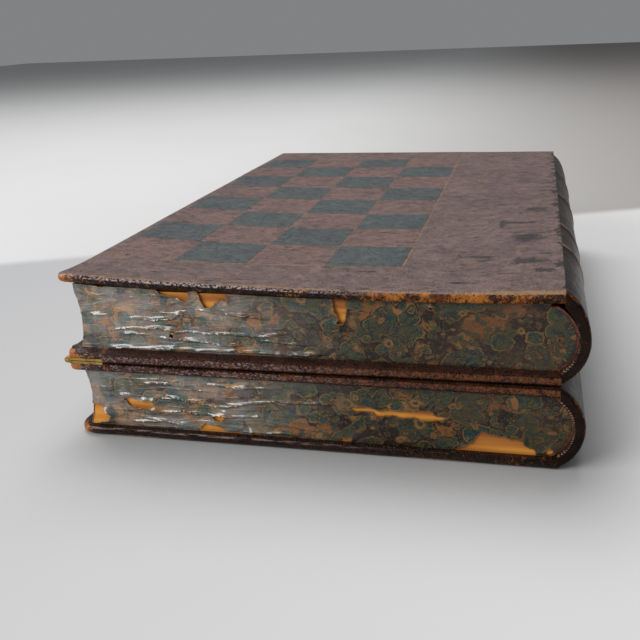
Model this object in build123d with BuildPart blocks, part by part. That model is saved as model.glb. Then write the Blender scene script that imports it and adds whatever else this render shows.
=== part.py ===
from build123d import *
import os
from math import sqrt

# Book-form games box. Two leather-bound "volumes" lie one on the other, hinged together along
# their hollow fore-edges. Each volume is a shallow wooden tray: one cover board is the tray's floor,
# the book block is its four walls, and the other board is an open rim. Half a chessboard is let into
# the outside of each cover, and half a backgammon table lies on the floor of each tray. Opened flat,
# the two trays make the backgammon board, and turned over, the two covers make the chessboard.
#
# X runs from the fore-edge (-) to the spine (+), Y from the front end (-) to the back end (+), Z up.
# The origin is the centre of the closed box's footprint, on the table. Millimetres.
# The lower volume is modelled first. The upper one is its mirror image in the split between them.

# ------------------------------------------------------------------------- driving dimensions
# Chess half-board
square = 34.0                # side of one chess square
square_columns = 4           # columns on each cover
square_rows = 8
square_line = 0.6            # tooled line left between neighbouring squares
square_depth = 0.3           # depth that the dark squares are let into the leather
fore_margin = 4.0            # plain strip between the cover's fore-edge and the first column

# Covers and volumes
cover_width = 204.5          # fore-edge to spine joint
cover_height = 342.0         # front end to back end
volume_thickness = 34.4      # outside of cover to mating face of rim
board_core = 3.0             # wooden board inside the leather
leather = 0.6
board_corner = 4.0           # rounding of the boards' fore corners, seen from above
board_edge = 0.7             # bevel of the leather over the boards' outer edges
fore_overhang = 5.5          # boards beyond the block at the fore-edge
end_overhang = 3.0           # boards beyond the block at the front and back ends

# Trays
paper = 0.3                  # marbled paper on the block
paste = 0.1                  # between the hollow fore-edge and its paper
fore_wall = 11.6             # fore-edge wall, at its thickest
fore_hollow = 2.5            # depth of the hollow fore-edge
end_wall = 7.0
spine_wall_inset = 10.0      # spine joint to the tray's inside
housing = 3.0                # depth that the long walls enter the end walls
lining = 0.5                 # leather on the tray's floor

# Spines
spine_bulge = 10.4           # rounded spine beyond the joint
spine_shell = 4.8            # leather and pasteboard together
hollow_tube = 1.0            # paper tube between block and spine

# Split and hinges
split_gap = 0.9              # between the two rims' mating faces
seam_gap = 0.4               # where the rim leather is slit behind the hinges
leaf_width = 16.5            # from the boards' fore-edge
leaf_length = 40.0
leaf_thickness = 1.1
leaf_gap = 0.3               # between the two leaves when the box is shut
barrel_radius = 1.3
barrel_inset = 0.5           # barrel's ends short of the leaf's ends
pin_radius = 0.6
pin_clearance = 0.04
pin_set_out = 0.3            # hinge axis beyond the boards' fore-edge
knuckles = 5
knuckle_gap = 0.2
barrel_clearance = 0.3

# Backgammon table
points_per_end = 6
point_length = 122.0
point_thickness = 0.3
point_gap = 1.6              # between the feet of neighbouring points

# Men, cups and dice, lying loose in the lower tray
man_radius = 13.0
man_thickness = 7.4
men_per_stack = 3
stacks_per_end = 5
stack_inset = 2.0            # from the end walls
loose_gap = 0.1              # air between loose pieces and what they lie on
cup_length = 62.0
cup_radius = 14.9
cup_wall = 2.7
cup_base = 3.0
cups_apart = 16.0            # between the two cups' bases
cup_inset = 0.8              # from the spine wall
die_side = 11.0
die_corner = 1.0
dice_apart = 25.0
dice_from_cups = 25.0

# ------------------------------------------------------------------------- derived places
board = board_core + 2 * leather
hinge_z = volume_thickness + split_gap / 2
z_mid = volume_thickness / 2
core_top = leather + board_core                    # tray floor: inner face of the cover's core
rim_base = volume_thickness - board                # underside of the rim's leather
rim_core_base = rim_base + leather
rim_core_top = volume_thickness - leather

spine_radius = (volume_thickness**2 / 4 + spine_bulge**2) / (2 * spine_bulge)
shell_inner_radius = spine_radius - spine_shell
block_back_radius = shell_inner_radius - hollow_tube

left_reach = pin_set_out + barrel_radius           # hinge barrels stand out past the boards
x_fore = left_reach - (left_reach + cover_width + spine_bulge) / 2
x_joint = x_fore + cover_width
x_spine = x_joint + spine_bulge
x_spine_axis = x_spine - spine_radius
x_hinge = x_fore - pin_set_out
x_block = x_fore + fore_overhang                   # outside of the fore-edge paper
x_wall = x_block + paper + paste
x_tray_fore = x_wall + fore_wall
x_tray_spine = x_joint - spine_wall_inset
tray_width = x_tray_spine - x_tray_fore
x_tray = (x_tray_fore + x_tray_spine) / 2

y_front = -cover_height / 2
y_block_front = y_front + end_overhang             # outside of the front paper
y_wall_front = y_block_front + paper
y_tray_front = y_wall_front + end_wall
tray_length = -2 * y_tray_front

block_chord = rim_core_base - core_top
fore_radius = (block_chord**2 / 4 + fore_hollow**2) / (2 * fore_hollow)
lining_top = core_top + lining
point_top = lining_top + point_thickness

split_plane = Plane.XY.offset(hinge_z)
middle_plane = Plane.XZ                            # halfway between the front and back ends

os.makedirs("parts", exist_ok=True)


def save(part, name):
    """Labels one finished piece and writes it as its own file."""
    part.label = name
    export_step(part, f"parts/{name}.step")


def save_both_volumes(lower_part, name):
    """Writes a lower piece, and the upper volume's copy mirrored in the split."""
    save(lower_part, f"lower_{name}")
    save(mirror(lower_part, about=split_plane), f"upper_{name}")


def cross_section(y):
    """Plane across the box at y: its first axis is X and its second is Z."""
    return Plane.XZ.offset(-y)


def block_section(plane, fore_x, low, high, back_radius=block_back_radius):
    """Section of the book block: hollow fore-edge, flat faces and rounded back."""
    far_x = x_spine_axis + back_radius
    with BuildSketch(plane) as section:
        with Locations((x_spine_axis, z_mid)):
            Circle(back_radius)
        with Locations(((fore_x + x_spine_axis) / 2, z_mid)):
            Rectangle(x_spine_axis - fore_x, 2 * back_radius)
        with Locations((fore_x + fore_hollow - fore_radius, z_mid)):
            Circle(fore_radius, mode=Mode.SUBTRACT)
        with Locations(((fore_x + far_x) / 2, (low + high) / 2)):
            Rectangle(far_x - fore_x, high - low, mode=Mode.INTERSECT)
    return section.sketch


def board_outline(plane, inset, corner):
    """A board seen from above, its fore corners rounded and its joint edge straight."""
    with BuildSketch(plane) as outline:
        with Locations(((x_fore + inset + x_joint) / 2, 0)):
            Rectangle(cover_width - inset, cover_height - 2 * inset)
        fore_corners = outline.vertices().sort_by(Axis.X)[:2]
        fillet(fore_corners, corner)
    return outline.sketch


def ring_sector(plane, inner, outer, half_height):
    """Section of a layer of the rounded spine, beyond the block's back corners."""
    with BuildSketch(plane) as sector:
        with Locations((x_spine_axis, z_mid)):
            Circle(outer)
            Circle(inner, mode=Mode.SUBTRACT)
        start_x = x_spine_axis + sqrt(inner**2 - min(half_height, inner - 1) ** 2)
        with Locations(((start_x + x_spine) / 2, z_mid)):
            Rectangle(x_spine - start_x, 2 * half_height, mode=Mode.INTERSECT)
    return sector.sketch


# ------------------------------------------------------------------------- hinges
# Brass butt hinges at both ends of the fore-edge. The front one is modelled, its leaf ending flush
# with the rims' ends, and mirrored for the back. The knuckles take turns between the two leaves.
barrel_length = leaf_length - 2 * barrel_inset
barrel_front = y_front + barrel_inset
knuckle_pitch = barrel_length / knuckles
leaf_top = hinge_z - leaf_gap / 2
leaf_base = leaf_top - leaf_thickness
leaf_y = y_front + leaf_length / 2
lower_knuckles = range(0, knuckles, 2)
upper_knuckles = range(1, knuckles, 2)


def barrel_run(start, length, radius):
    """A cylinder along the hinge axis, from y = start."""
    with BuildPart() as run:
        with BuildSketch(cross_section(start)):
            with Locations((x_hinge, hinge_z)):
                Circle(radius)
        extrude(amount=length, dir=(0, 1, 0))
    return run.part


def hinge_leaf(own_knuckles):
    """One leaf as it lies in the lower rim, with its own knuckles standing on the hinge axis."""
    others = [k for k in range(knuckles) if k not in own_knuckles]
    length = knuckle_pitch - knuckle_gap
    with BuildPart() as leaf:
        with BuildSketch(Plane.XY.offset(leaf_base)):
            with Locations(((x_hinge + x_fore + leaf_width) / 2, leaf_y)):
                Rectangle(leaf_width + pin_set_out, leaf_length)
        extrude(amount=leaf_thickness)
        for k in own_knuckles:
            add(barrel_run(barrel_front + k * knuckle_pitch + knuckle_gap / 2, length, barrel_radius))
        for k in others:
            slot_start = barrel_front + k * knuckle_pitch - knuckle_gap / 2
            slot = barrel_run(slot_start, knuckle_pitch + knuckle_gap, barrel_radius + barrel_clearance)
            add(slot, mode=Mode.SUBTRACT)
        for end in (y_front, barrel_front + barrel_length):
            add(barrel_run(end, barrel_inset, barrel_radius + barrel_clearance), mode=Mode.SUBTRACT)
        add(barrel_run(y_front, leaf_length, pin_radius + pin_clearance), mode=Mode.SUBTRACT)
    return leaf.part


lower_leaf = hinge_leaf(lower_knuckles)
upper_leaf = mirror(hinge_leaf(upper_knuckles), about=split_plane)
front_pin = barrel_run(barrel_front, barrel_length, pin_radius)

# What the hinges need cut out of the rims: a bed for each leaf, and room for the barrel.
with BuildPart() as hinge_beds:
    with BuildSketch(Plane.XY.offset(leaf_base)):
        with Locations((x_fore + leaf_width / 2, leaf_y)):
            Rectangle(leaf_width, leaf_length)
    extrude(amount=volume_thickness - leaf_base)
    add(barrel_run(y_front, leaf_length, barrel_radius + barrel_clearance))
    mirror(about=middle_plane)

save(lower_leaf, "front_hinge_lower_leaf")
save(upper_leaf, "front_hinge_upper_leaf")
save(front_pin, "front_hinge_pin")
save(mirror(lower_leaf, about=middle_plane), "back_hinge_lower_leaf")
save(mirror(upper_leaf, about=middle_plane), "back_hinge_upper_leaf")
save(mirror(front_pin, about=middle_plane), "back_hinge_pin")

# ------------------------------------------------------------------------- tray walls
# The block as one solid, with and without its paper. Pieces around it are cut to it.
with BuildPart() as bare_block:
    with BuildSketch(cross_section(y_wall_front)):
        add(block_section(cross_section(y_wall_front), x_wall, core_top, rim_core_base))
    extrude(amount=-2 * y_wall_front, dir=(0, 1, 0))

with BuildPart() as fore_edge_wall:
    with BuildSketch(cross_section(y_tray_front - housing)):
        add(block_section(cross_section(y_tray_front - housing), x_wall, core_top, rim_core_base))
        with Locations(((x_wall + x_tray_fore) / 2, z_mid)):
            Rectangle(fore_wall, block_chord, mode=Mode.INTERSECT)
    extrude(amount=tray_length + 2 * housing, dir=(0, 1, 0))
save_both_volumes(fore_edge_wall.part, "fore_edge_wall")

with BuildPart() as spine_wall:
    with BuildSketch(cross_section(y_tray_front - housing)):
        add(block_section(cross_section(y_tray_front - housing), x_wall, core_top, rim_core_base))
        with Locations(((x_tray_spine + x_spine) / 2, z_mid)):
            Rectangle(x_spine - x_tray_spine, block_chord, mode=Mode.INTERSECT)
    extrude(amount=tray_length + 2 * housing, dir=(0, 1, 0))
save_both_volumes(spine_wall.part, "spine_wall")

with BuildPart() as front_wall:
    with BuildSketch(cross_section(y_wall_front)):
        add(block_section(cross_section(y_wall_front), x_wall, core_top, rim_core_base))
    extrude(amount=end_wall, dir=(0, 1, 0))
    add(fore_edge_wall.part, mode=Mode.SUBTRACT)
    add(spine_wall.part, mode=Mode.SUBTRACT)
save_both_volumes(front_wall.part, "front_wall")
save_both_volumes(mirror(front_wall.part, about=middle_plane), "back_wall")

# ------------------------------------------------------------------------- marbled papers
with BuildPart() as front_paper:
    with BuildSketch(cross_section(y_block_front)):
        add(block_section(cross_section(y_block_front), x_wall, board, rim_base))
    extrude(amount=paper, dir=(0, 1, 0))
save_both_volumes(front_paper.part, "front_paper")
save_both_volumes(mirror(front_paper.part, about=middle_plane), "back_paper")

with BuildPart() as fore_edge_paper:
    with BuildSketch(cross_section(y_block_front)):
        add(block_section(cross_section(y_block_front), x_block, board, rim_base))
        pasted_face = x_block + paper
        fore_section = block_section(cross_section(y_block_front), pasted_face, board, rim_base)
        add(fore_section, mode=Mode.SUBTRACT)
    extrude(amount=-2 * y_block_front, dir=(0, 1, 0))
save_both_volumes(fore_edge_paper.part, "fore_edge_paper")

# ------------------------------------------------------------------------- cover boards
with BuildPart() as cover_board:
    with BuildSketch(Plane.XY.offset(leather)):
        add(board_outline(Plane.XY.offset(leather), leather, board_corner - leather))
    extrude(amount=board_core)
save_both_volumes(cover_board.part, "cover_board")

for side, dark_parity in (("lower", 0), ("upper", 1)):
    with BuildPart() as dark_squares:
        with BuildSketch():
            for column in range(square_columns):
                for row in range(square_rows):
                    if (column + row) % 2 != dark_parity:
                        continue
                    centre_x = x_fore + fore_margin + (column + 0.5) * square
                    centre_y = (row + 0.5 - square_rows / 2) * square
                    with Locations((centre_x, centre_y)):
                        Rectangle(square - square_line, square - square_line)
        extrude(amount=square_depth)

    # Leather over the outside, round three edges and turned in up to the block's walls.
    with BuildPart() as cover_leather:
        with BuildSketch():
            add(board_outline(Plane.XY, 0, board_corner))
        extrude(amount=board)
        outer_edges = cover_leather.faces().sort_by(Axis.Z)[0].edges()
        chamfer([e for e in outer_edges if e.center().X < x_joint - 1], board_edge)
        add(cover_board.part, mode=Mode.SUBTRACT)
        add(bare_block.part, mode=Mode.SUBTRACT)
        with BuildSketch(Plane.XY.offset(core_top)):
            with Locations(((x_spine_axis + x_joint) / 2, 0)):
                Rectangle(x_joint - x_spine_axis, -2 * y_wall_front)
        extrude(amount=leather, mode=Mode.SUBTRACT)
        add(dark_squares.part, mode=Mode.SUBTRACT)

    if side == "lower":
        save(dark_squares.part, "lower_dark_squares")
        save(cover_leather.part, "lower_cover_leather")
    else:
        save(mirror(dark_squares.part, about=split_plane), "upper_dark_squares")
        save(mirror(cover_leather.part, about=split_plane), "upper_cover_leather")

# ------------------------------------------------------------------------- rims
# Four strips under leather: one along the fore-edge, full length, and three butted to it.
with BuildPart() as rim_core:
    with BuildSketch(Plane.XY.offset(rim_core_base)):
        add(board_outline(Plane.XY.offset(rim_core_base), leather, board_corner - leather))
        with Locations((x_tray, 0)):
            Rectangle(tray_width, tray_length, mode=Mode.SUBTRACT)
    extrude(amount=board_core)

with BuildPart() as rim_fore_strip:
    add(rim_core.part)
    split(bisect_by=Plane.YZ.offset(x_tray_fore), keep=Keep.BOTTOM)
    add(hinge_beds.part, mode=Mode.SUBTRACT)
save_both_volumes(rim_fore_strip.part, "rim_fore_strip")

with BuildPart() as rim_front_strip:
    add(rim_core.part)
    split(bisect_by=Plane.YZ.offset(x_tray_fore), keep=Keep.TOP)
    split(bisect_by=Plane.XZ.offset(-y_tray_front), keep=Keep.TOP)
save_both_volumes(rim_front_strip.part, "rim_front_strip")
save_both_volumes(mirror(rim_front_strip.part, about=middle_plane), "rim_back_strip")

with BuildPart() as rim_spine_strip:
    with BuildSketch(Plane.XY.offset(rim_core_base)):
        with Locations(((x_tray_spine + x_joint) / 2, 0)):
            Rectangle(spine_wall_inset, tray_length)
    extrude(amount=board_core)
save_both_volumes(rim_spine_strip.part, "rim_spine_strip")

with BuildPart() as rim_leather:
    with BuildSketch(Plane.XY.offset(rim_base)):
        add(board_outline(Plane.XY.offset(rim_base), 0, board_corner))
    extrude(amount=board)
    with BuildSketch(Plane.XY.offset(rim_base)):
        with Locations((x_tray, 0)):
            Rectangle(tray_width, tray_length)
        with Locations(((x_spine_axis + x_joint) / 2, 0)):
            Rectangle(x_joint - x_spine_axis, -2 * y_wall_front)
    extrude(amount=leather, mode=Mode.SUBTRACT)
    with BuildSketch(Plane.XY.offset(rim_core_base)):
        with Locations((x_tray, 0)):
            Rectangle(tray_width, tray_length)
    extrude(amount=board, mode=Mode.SUBTRACT)
    with BuildSketch(Plane.XY.offset(rim_core_base)):
        add(board_outline(Plane.XY.offset(rim_core_base), leather, board_corner - leather))
    extrude(amount=board_core, mode=Mode.SUBTRACT)
    add(bare_block.part, mode=Mode.SUBTRACT)
    add(hinge_beds.part, mode=Mode.SUBTRACT)
    with BuildSketch(Plane.XY.offset(rim_base)):
        with Locations((x_tray_fore + seam_gap / 2, 0)):
            Rectangle(seam_gap, cover_height)
    extrude(amount=board, mode=Mode.SUBTRACT)
save_both_volumes(rim_leather.part, "rim_leather")

# ------------------------------------------------------------------------- rounded spines
tube_half_height = z_mid - board
with BuildPart() as spine_tube:
    with BuildSketch(cross_section(y_wall_front)):
        add(ring_sector(cross_section(y_wall_front), block_back_radius, shell_inner_radius, tube_half_height))
    extrude(amount=-2 * y_wall_front, dir=(0, 1, 0))
save_both_volumes(spine_tube.part, "spine_tube")


def spine_layer(inner, outer, end_inset):
    """A layer of the spine shell from the joint outwards, short of the boards' ends by end_inset."""
    plane = cross_section(y_front + end_inset)
    with BuildPart() as layer:
        with BuildSketch(plane):
            with Locations((x_spine_axis, z_mid)):
                Circle(outer)
                Circle(inner, mode=Mode.SUBTRACT)
            with Locations((x_joint + spine_radius, z_mid)):
                Rectangle(2 * spine_radius, 2 * spine_radius, mode=Mode.INTERSECT)
        extrude(amount=cover_height - 2 * end_inset, dir=(0, 1, 0))
    return layer.part


with BuildPart() as spine_board:
    add(spine_layer(shell_inner_radius, spine_radius - leather, leather))
save_both_volumes(spine_board.part, "spine_board")

with BuildPart() as spine_leather:
    add(spine_layer(shell_inner_radius, spine_radius, 0))
    add(spine_board.part, mode=Mode.SUBTRACT)
save_both_volumes(spine_leather.part, "spine_leather")

# ------------------------------------------------------------------------- backgammon table
with BuildPart() as tray_lining:
    with BuildSketch(Plane.XY.offset(core_top)):
        with Locations((x_tray, 0)):
            Rectangle(tray_width, tray_length)
    extrude(amount=lining)
save_both_volumes(tray_lining.part, "tray_lining")

point_pitch = tray_width / points_per_end


def lane_x(lane):
    """Centre of one lane of points, counted from the fore-edge."""
    return x_tray_fore + (lane + 0.5) * point_pitch


def points(parity):
    """Six long triangles of one colour: every other one along the front, and the rest along the back."""
    with BuildPart() as triangles:
        with BuildSketch(Plane.XY.offset(lining_top)):
            for lane in range(points_per_end):
                end = -1 if lane % 2 == parity else 1
                foot_y = -end * y_tray_front
                half_foot = (point_pitch - point_gap) / 2
                with BuildLine():
                    Polyline(
                        (lane_x(lane) - half_foot, foot_y),
                        (lane_x(lane) + half_foot, foot_y),
                        (lane_x(lane), foot_y - end * point_length),
                        close=True,
                    )
                make_face()
        extrude(amount=point_thickness)
    return triangles.part


save(points(0), "lower_dark_points")
save(points(1), "lower_light_points")
save(mirror(points(1), about=split_plane), "upper_dark_points")
save(mirror(points(0), about=split_plane), "upper_light_points")

# ------------------------------------------------------------------------- men, cups and dice
# Loose pieces, stored in the lower tray: the men in low stacks along both ends, in every other
# place by colour, and the cups on their sides along the spine wall, mouths outwards.
men_base = point_top + loose_gap
man_pitch = man_thickness + loose_gap


def stacked_men(parity):
    """One side's men: stacks in every other place round the two ends."""
    with BuildPart() as men:
        for lane in range(stacks_per_end):
            end = -1 if lane % 2 == parity else 1
            stack_y = end * (-y_tray_front - stack_inset - man_radius)
            for level in range(men_per_stack):
                with Locations((lane_x(lane), stack_y, men_base + level * man_pitch)):
                    Cylinder(man_radius, man_thickness, align=(Align.CENTER, Align.CENTER, Align.MIN))
    return men.part


save(stacked_men(0), "light_men")
save(stacked_men(1), "dark_men")

cup_x = x_tray_spine - cup_inset - cup_radius
cup_z = men_base + cup_radius

with BuildPart() as back_dice_cup:
    with BuildSketch(cross_section(cups_apart / 2)):
        with Locations((cup_x, cup_z)):
            Circle(cup_radius)
    extrude(amount=cup_length, dir=(0, 1, 0))
    with BuildSketch(cross_section(cups_apart / 2 + cup_base)):
        with Locations((cup_x, cup_z)):
            Circle(cup_radius - cup_wall)
    extrude(amount=cup_length, dir=(0, 1, 0), mode=Mode.SUBTRACT)
save(back_dice_cup.part, "back_dice_cup")
save(mirror(back_dice_cup.part, about=middle_plane), "front_dice_cup")

with BuildPart() as die:
    Box(die_side, die_side, die_side)
    chamfer(die.edges(), die_corner)

dice_x = cup_x - dice_from_cups
with BuildPart() as dice:
    with Locations(
        Location((dice_x, -dice_apart / 2, men_base + die_side / 2), (0, 0, 24)),
        Location((dice_x, dice_apart / 2, men_base + die_side / 2), (0, 0, -37)),
    ):
        add(die.part)
save(dice.part, "dice")
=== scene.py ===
import bmesh
import bpy
import math
from mathutils import Matrix, Vector, noise


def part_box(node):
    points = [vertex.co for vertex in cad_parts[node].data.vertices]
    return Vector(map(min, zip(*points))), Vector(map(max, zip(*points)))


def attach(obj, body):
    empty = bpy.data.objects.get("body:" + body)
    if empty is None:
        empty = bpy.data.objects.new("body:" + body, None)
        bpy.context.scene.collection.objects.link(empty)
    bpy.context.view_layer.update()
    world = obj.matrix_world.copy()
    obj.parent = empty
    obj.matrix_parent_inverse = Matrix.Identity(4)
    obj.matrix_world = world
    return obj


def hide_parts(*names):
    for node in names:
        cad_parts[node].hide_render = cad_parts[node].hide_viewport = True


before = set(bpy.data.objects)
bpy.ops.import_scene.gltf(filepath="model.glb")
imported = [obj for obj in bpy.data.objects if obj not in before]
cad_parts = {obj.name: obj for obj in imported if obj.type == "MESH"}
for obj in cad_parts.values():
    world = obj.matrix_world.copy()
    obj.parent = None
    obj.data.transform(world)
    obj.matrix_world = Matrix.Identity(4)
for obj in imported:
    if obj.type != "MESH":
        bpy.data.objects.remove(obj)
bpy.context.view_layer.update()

# ============================================================ 1. Cover boards
# Two 3 mm beech boards, sawn and planed flat, each glued over the four walls of a tray as its floor.
# The lower one is flat, with a worn front corner. The upper one has cupped with age, its long edges
# standing high.
MM = 0.001


def leave_all():
    """Puts everything down before the next piece is picked up."""
    if bpy.context.mode != "OBJECT":
        bpy.ops.object.mode_set(mode="OBJECT")
    bpy.ops.object.select_all(action="DESELECT")


def pick(piece):
    leave_all()
    piece.select_set(True)
    bpy.context.view_layer.objects.active = piece


def open_up(piece):
    """Into edit mode, with nothing of the piece selected."""
    pick(piece)
    bpy.ops.object.mode_set(mode="EDIT")
    bpy.ops.mesh.select_all(action="DESELECT")


def choose(piece, kind, test):
    """Selects the points, edges or faces whose middle (and direction or normal) pass a test."""
    bpy.ops.mesh.select_mode(type=kind)
    bpy.ops.mesh.select_all(action="DESELECT")
    mesh = bmesh.from_edit_mesh(piece.data)
    if kind == "VERT":
        for point in mesh.verts:
            point.select = test(point.co)
    elif kind == "EDGE":
        for edge in mesh.edges:
            first, last = edge.verts[0].co, edge.verts[1].co
            edge.select = test((first + last) / 2, (last - first).normalized())
    else:
        for face in mesh.faces:
            face.select = test(face.calc_center_median(), face.normal)
    mesh.select_flush_mode()
    bmesh.update_edit_mesh(piece.data)


def cut_at(axis, places):
    """Saws straight through the whole piece at each place along an axis, leaving new edges there."""
    normal = [0.0, 0.0, 0.0]
    normal[axis] = 1.0
    for place in places:
        bpy.ops.mesh.select_all(action="SELECT")
        where = [0.0, 0.0, 0.0]
        where[axis] = place
        bpy.ops.mesh.bisect(plane_co=where, plane_no=normal)


def named(name):
    """Names the piece just made."""
    piece = bpy.context.object
    piece.name = piece.data.name = name
    return piece


def held(value):
    """A value kept from 0 to 1."""
    return max(0.0, min(1.0, value))


def spaced(start, end, pitch):
    """Places between two ends, about a pitch apart."""
    count = max(1, round((end - start) / pitch))
    return [start + (end - start) * step / count for step in range(1, count)]


def work(piece, kind, **settings):
    """Applies one modifier for good."""
    pick(piece)
    modifier = piece.modifiers.new(kind.title(), kind)
    for name, value in settings.items():
        setattr(modifier, name, value)
    bpy.ops.object.modifier_apply(modifier=modifier.name)


def reshape(piece, direction, offset):
    """Moves each point along one axis by its own offset: a weight-painted Displace."""
    offsets = [offset(point.co) for point in piece.data.vertices]
    least, most = min(offsets), max(offsets)
    span = max(most - least, 1e-9)
    weights = piece.vertex_groups.new(name="reshape")
    for point, amount in zip(piece.data.vertices, offsets):
        weights.add([point.index], (amount - least) / span, "REPLACE")
    work(piece, "DISPLACE", direction=direction, strength=span, mid_level=0.0, vertex_group="reshape")
    piece.vertex_groups.remove(piece.vertex_groups["reshape"])
    shift = Vector([least if axis == direction else 0.0 for axis in "XYZ"])
    piece.data.transform(Matrix.Translation(shift))


def block(name, low, high):
    """A squared block of stuff between two corners."""
    leave_all()
    middle = [(a + b) / 2 for a, b in zip(low, high)]
    size = [b - a for a, b in zip(low, high)]
    bpy.ops.mesh.primitive_cube_add(size=1, location=middle, scale=size)
    bpy.ops.object.transform_apply()
    return named(name)


def dress(piece, material):
    """Gives a piece its one material."""
    piece.data.materials.clear()
    piece.data.materials.append(material)


def srgb(red, green, blue):
    """A colour as a painter's chart gives it, 0 to 255."""
    line = [c / 255 for c in (red, green, blue)]
    return (*[c / 12.92 if c <= 0.04045 else ((c + 0.055) / 1.055) ** 2.4 for c in line], 1.0)


def put(kind, settings=(), tree=None, **inputs):
    """Adds a shader node. An input is a value, or another node's output to join, which tells the tree."""
    joined = [value for value in inputs.values() if isinstance(value, bpy.types.NodeSocket)]
    made = (tree or joined[0].id_data).nodes.new("ShaderNode" + kind)
    for name, value in dict(settings).items():
        setattr(made, name, value)
    for name, value in inputs.items():
        socket = made.inputs[int(name[1:])] if name[1:].isdigit() else made.inputs[name.replace("_", " ")]
        if isinstance(value, bpy.types.NodeSocket):
            made.id_data.links.new(value, socket)
        else:
            socket.default_value = value
    return made


def mix(share, first, second, how="MIX"):
    """Blends two colours."""
    settings = {"data_type": "RGBA", "blend_type": how}
    return put("Mix", settings, i0=share, i6=first, i7=second).outputs[2]


def calc(how, first, second=0.0, third=0.0):
    """One step of arithmetic."""
    return put("Math", {"operation": how}, i0=first, i1=second, i2=third).outputs[0]


def plus(first, second):
    return calc("ADD", first, second)


def times(first, second):
    return calc("MULTIPLY", first, second)


def times_plus(first, second, third):
    return calc("MULTIPLY_ADD", first, second, third)


def between(value, low, high, start=0.0, end=1.0):
    """Runs smoothly from start to end as the value goes from low to high."""
    settings = {"interpolation_type": "SMOOTHSTEP"}
    made = put("MapRange", settings, Value=value, From_Min=low, From_Max=high, To_Min=start, To_Max=end)
    return made.outputs[0]


def clouds(place, scale, detail=3.0, rough=0.55, warp=0.0):
    """Soft noise, 0 to 1."""
    made = put("TexNoise", Vector=place, Scale=scale, Detail=detail, Roughness=rough, Distortion=warp)
    return made.outputs[0]


def stretch(place, scale, turn=(0, 0, 0), shift=(0, 0, 0)):
    made = put("Mapping", Vector=place, Scale=scale, Rotation=turn, Location=shift)
    return made.outputs[0]


def effect(name, inputs, outputs):
    """An empty node group, with its sockets, and where they are read and given."""
    tree = bpy.data.node_groups.new(name, "ShaderNodeTree")
    kinds = {"colour": "NodeSocketColor", "value": "NodeSocketFloat", "place": "NodeSocketVector"}
    for label, (kind, value) in inputs.items():
        socket = tree.interface.new_socket(label, in_out="INPUT", socket_type=kinds[kind])
        socket.default_value = value
    for label, kind in outputs.items():
        tree.interface.new_socket(label, in_out="OUTPUT", socket_type=kinds[kind])
    return tree, tree.nodes.new("NodeGroupInput").outputs, tree.nodes.new("NodeGroupOutput").inputs


def give(outputs, **results):
    """Joins results to the sockets that they are for."""
    for name, result in results.items():
        result.id_data.links.new(result, outputs[name])


def use(group, **inputs):
    """Places a shared effect in a material, with its own values."""
    return put("Group", {"node_tree": group}, **inputs).outputs


def finish_of(name, rough=0.5, **sockets):
    """A new material, its shader and its object coordinates."""
    material = bpy.data.materials.new(name)
    material.use_nodes = True
    shader = material.node_tree.nodes["Principled BSDF"]
    shader.inputs["Roughness"].default_value = rough
    for label, value in sockets.items():
        shader.inputs[label.replace("_", " ")].default_value = value
    return material, shader, put("TexCoord", tree=material.node_tree).outputs["Object"]


def coat(shader, colour, rough=None, height=None, relief=0.3, depth=0.0005):
    """Joins the colour, gloss and surface relief to the shader."""
    joined = {"Base Color": colour}
    if rough is not None:
        joined["Roughness"] = rough
    if height is not None:
        joined["Normal"] = put("Bump", Height=height, Strength=relief, Distance=depth).outputs[0]
    give(shader.inputs, **joined)


# Straight wood grain along Y: soft bands of early and late wood, and fine dark fibres.
wood_grain, has, gives = effect(
    "wood grain",
    {"place": ("place", (0, 0, 0)), "pale": ("colour", (1, 1, 1, 1)), "dark": ("colour", (0, 0, 0, 1)),
     "pitch": ("value", 90.0)},
    {"colour": "colour", "rough": "value", "height": "value"},
)
long_place = stretch(has["place"], (1.0, 0.035, 1.0))
warped = clouds(long_place, 60.0, 2.0)
rings = put("TexWave", {"wave_type": "BANDS", "bands_direction": "X"}, Vector=long_place,
            Scale=has["pitch"], Distortion=5.0, Detail=2.0, Detail_Scale=1.2)
fibre = clouds(stretch(has["place"], (1.0, 0.02, 1.0)), 2600.0, 2.0)
early_late = times_plus(rings.outputs["Fac"], 0.5, times(warped, 0.5))
toned = mix(between(early_late, 0.25, 0.8), has["pale"], has["dark"])
toned = mix(between(fibre, 0.5, 0.75, 0.0, 0.45), toned, has["dark"])
give(gives, colour=toned, rough=between(early_late, 0.2, 0.9, 0.55, 0.75),
     height=plus(fibre, times(early_late, 0.5)))


def wood(name, pale, dark, pitch=90.0, turn=(0, 0, 0)):
    """Planed wood whose grain runs along Y before it is turned."""
    material, shader, place = finish_of(name)
    grain = use(wood_grain, place=stretch(place, (1, 1, 1), turn), pale=pale, dark=dark, pitch=pitch)
    coat(shader, grain["colour"], grain["rough"], grain["height"], 0.25, 0.0003)
    return material


board_wood = wood("beech board", srgb(176, 128, 84), srgb(128, 84, 50))

cover_low, cover_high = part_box("upper_cover_leather")
fore_x, joint_x = cover_low.x, cover_high.x
end_y = cover_high.y
cover_middle = (fore_x + joint_x) / 2
cup_rise = 2.93 * MM


def cupped(x):
    """How far the upper cover has risen at this distance across it."""
    across = max(-1.0, min(1.0, 2 * (x - cover_middle) / (joint_x - fore_x)))
    return cup_rise * across * across


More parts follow.
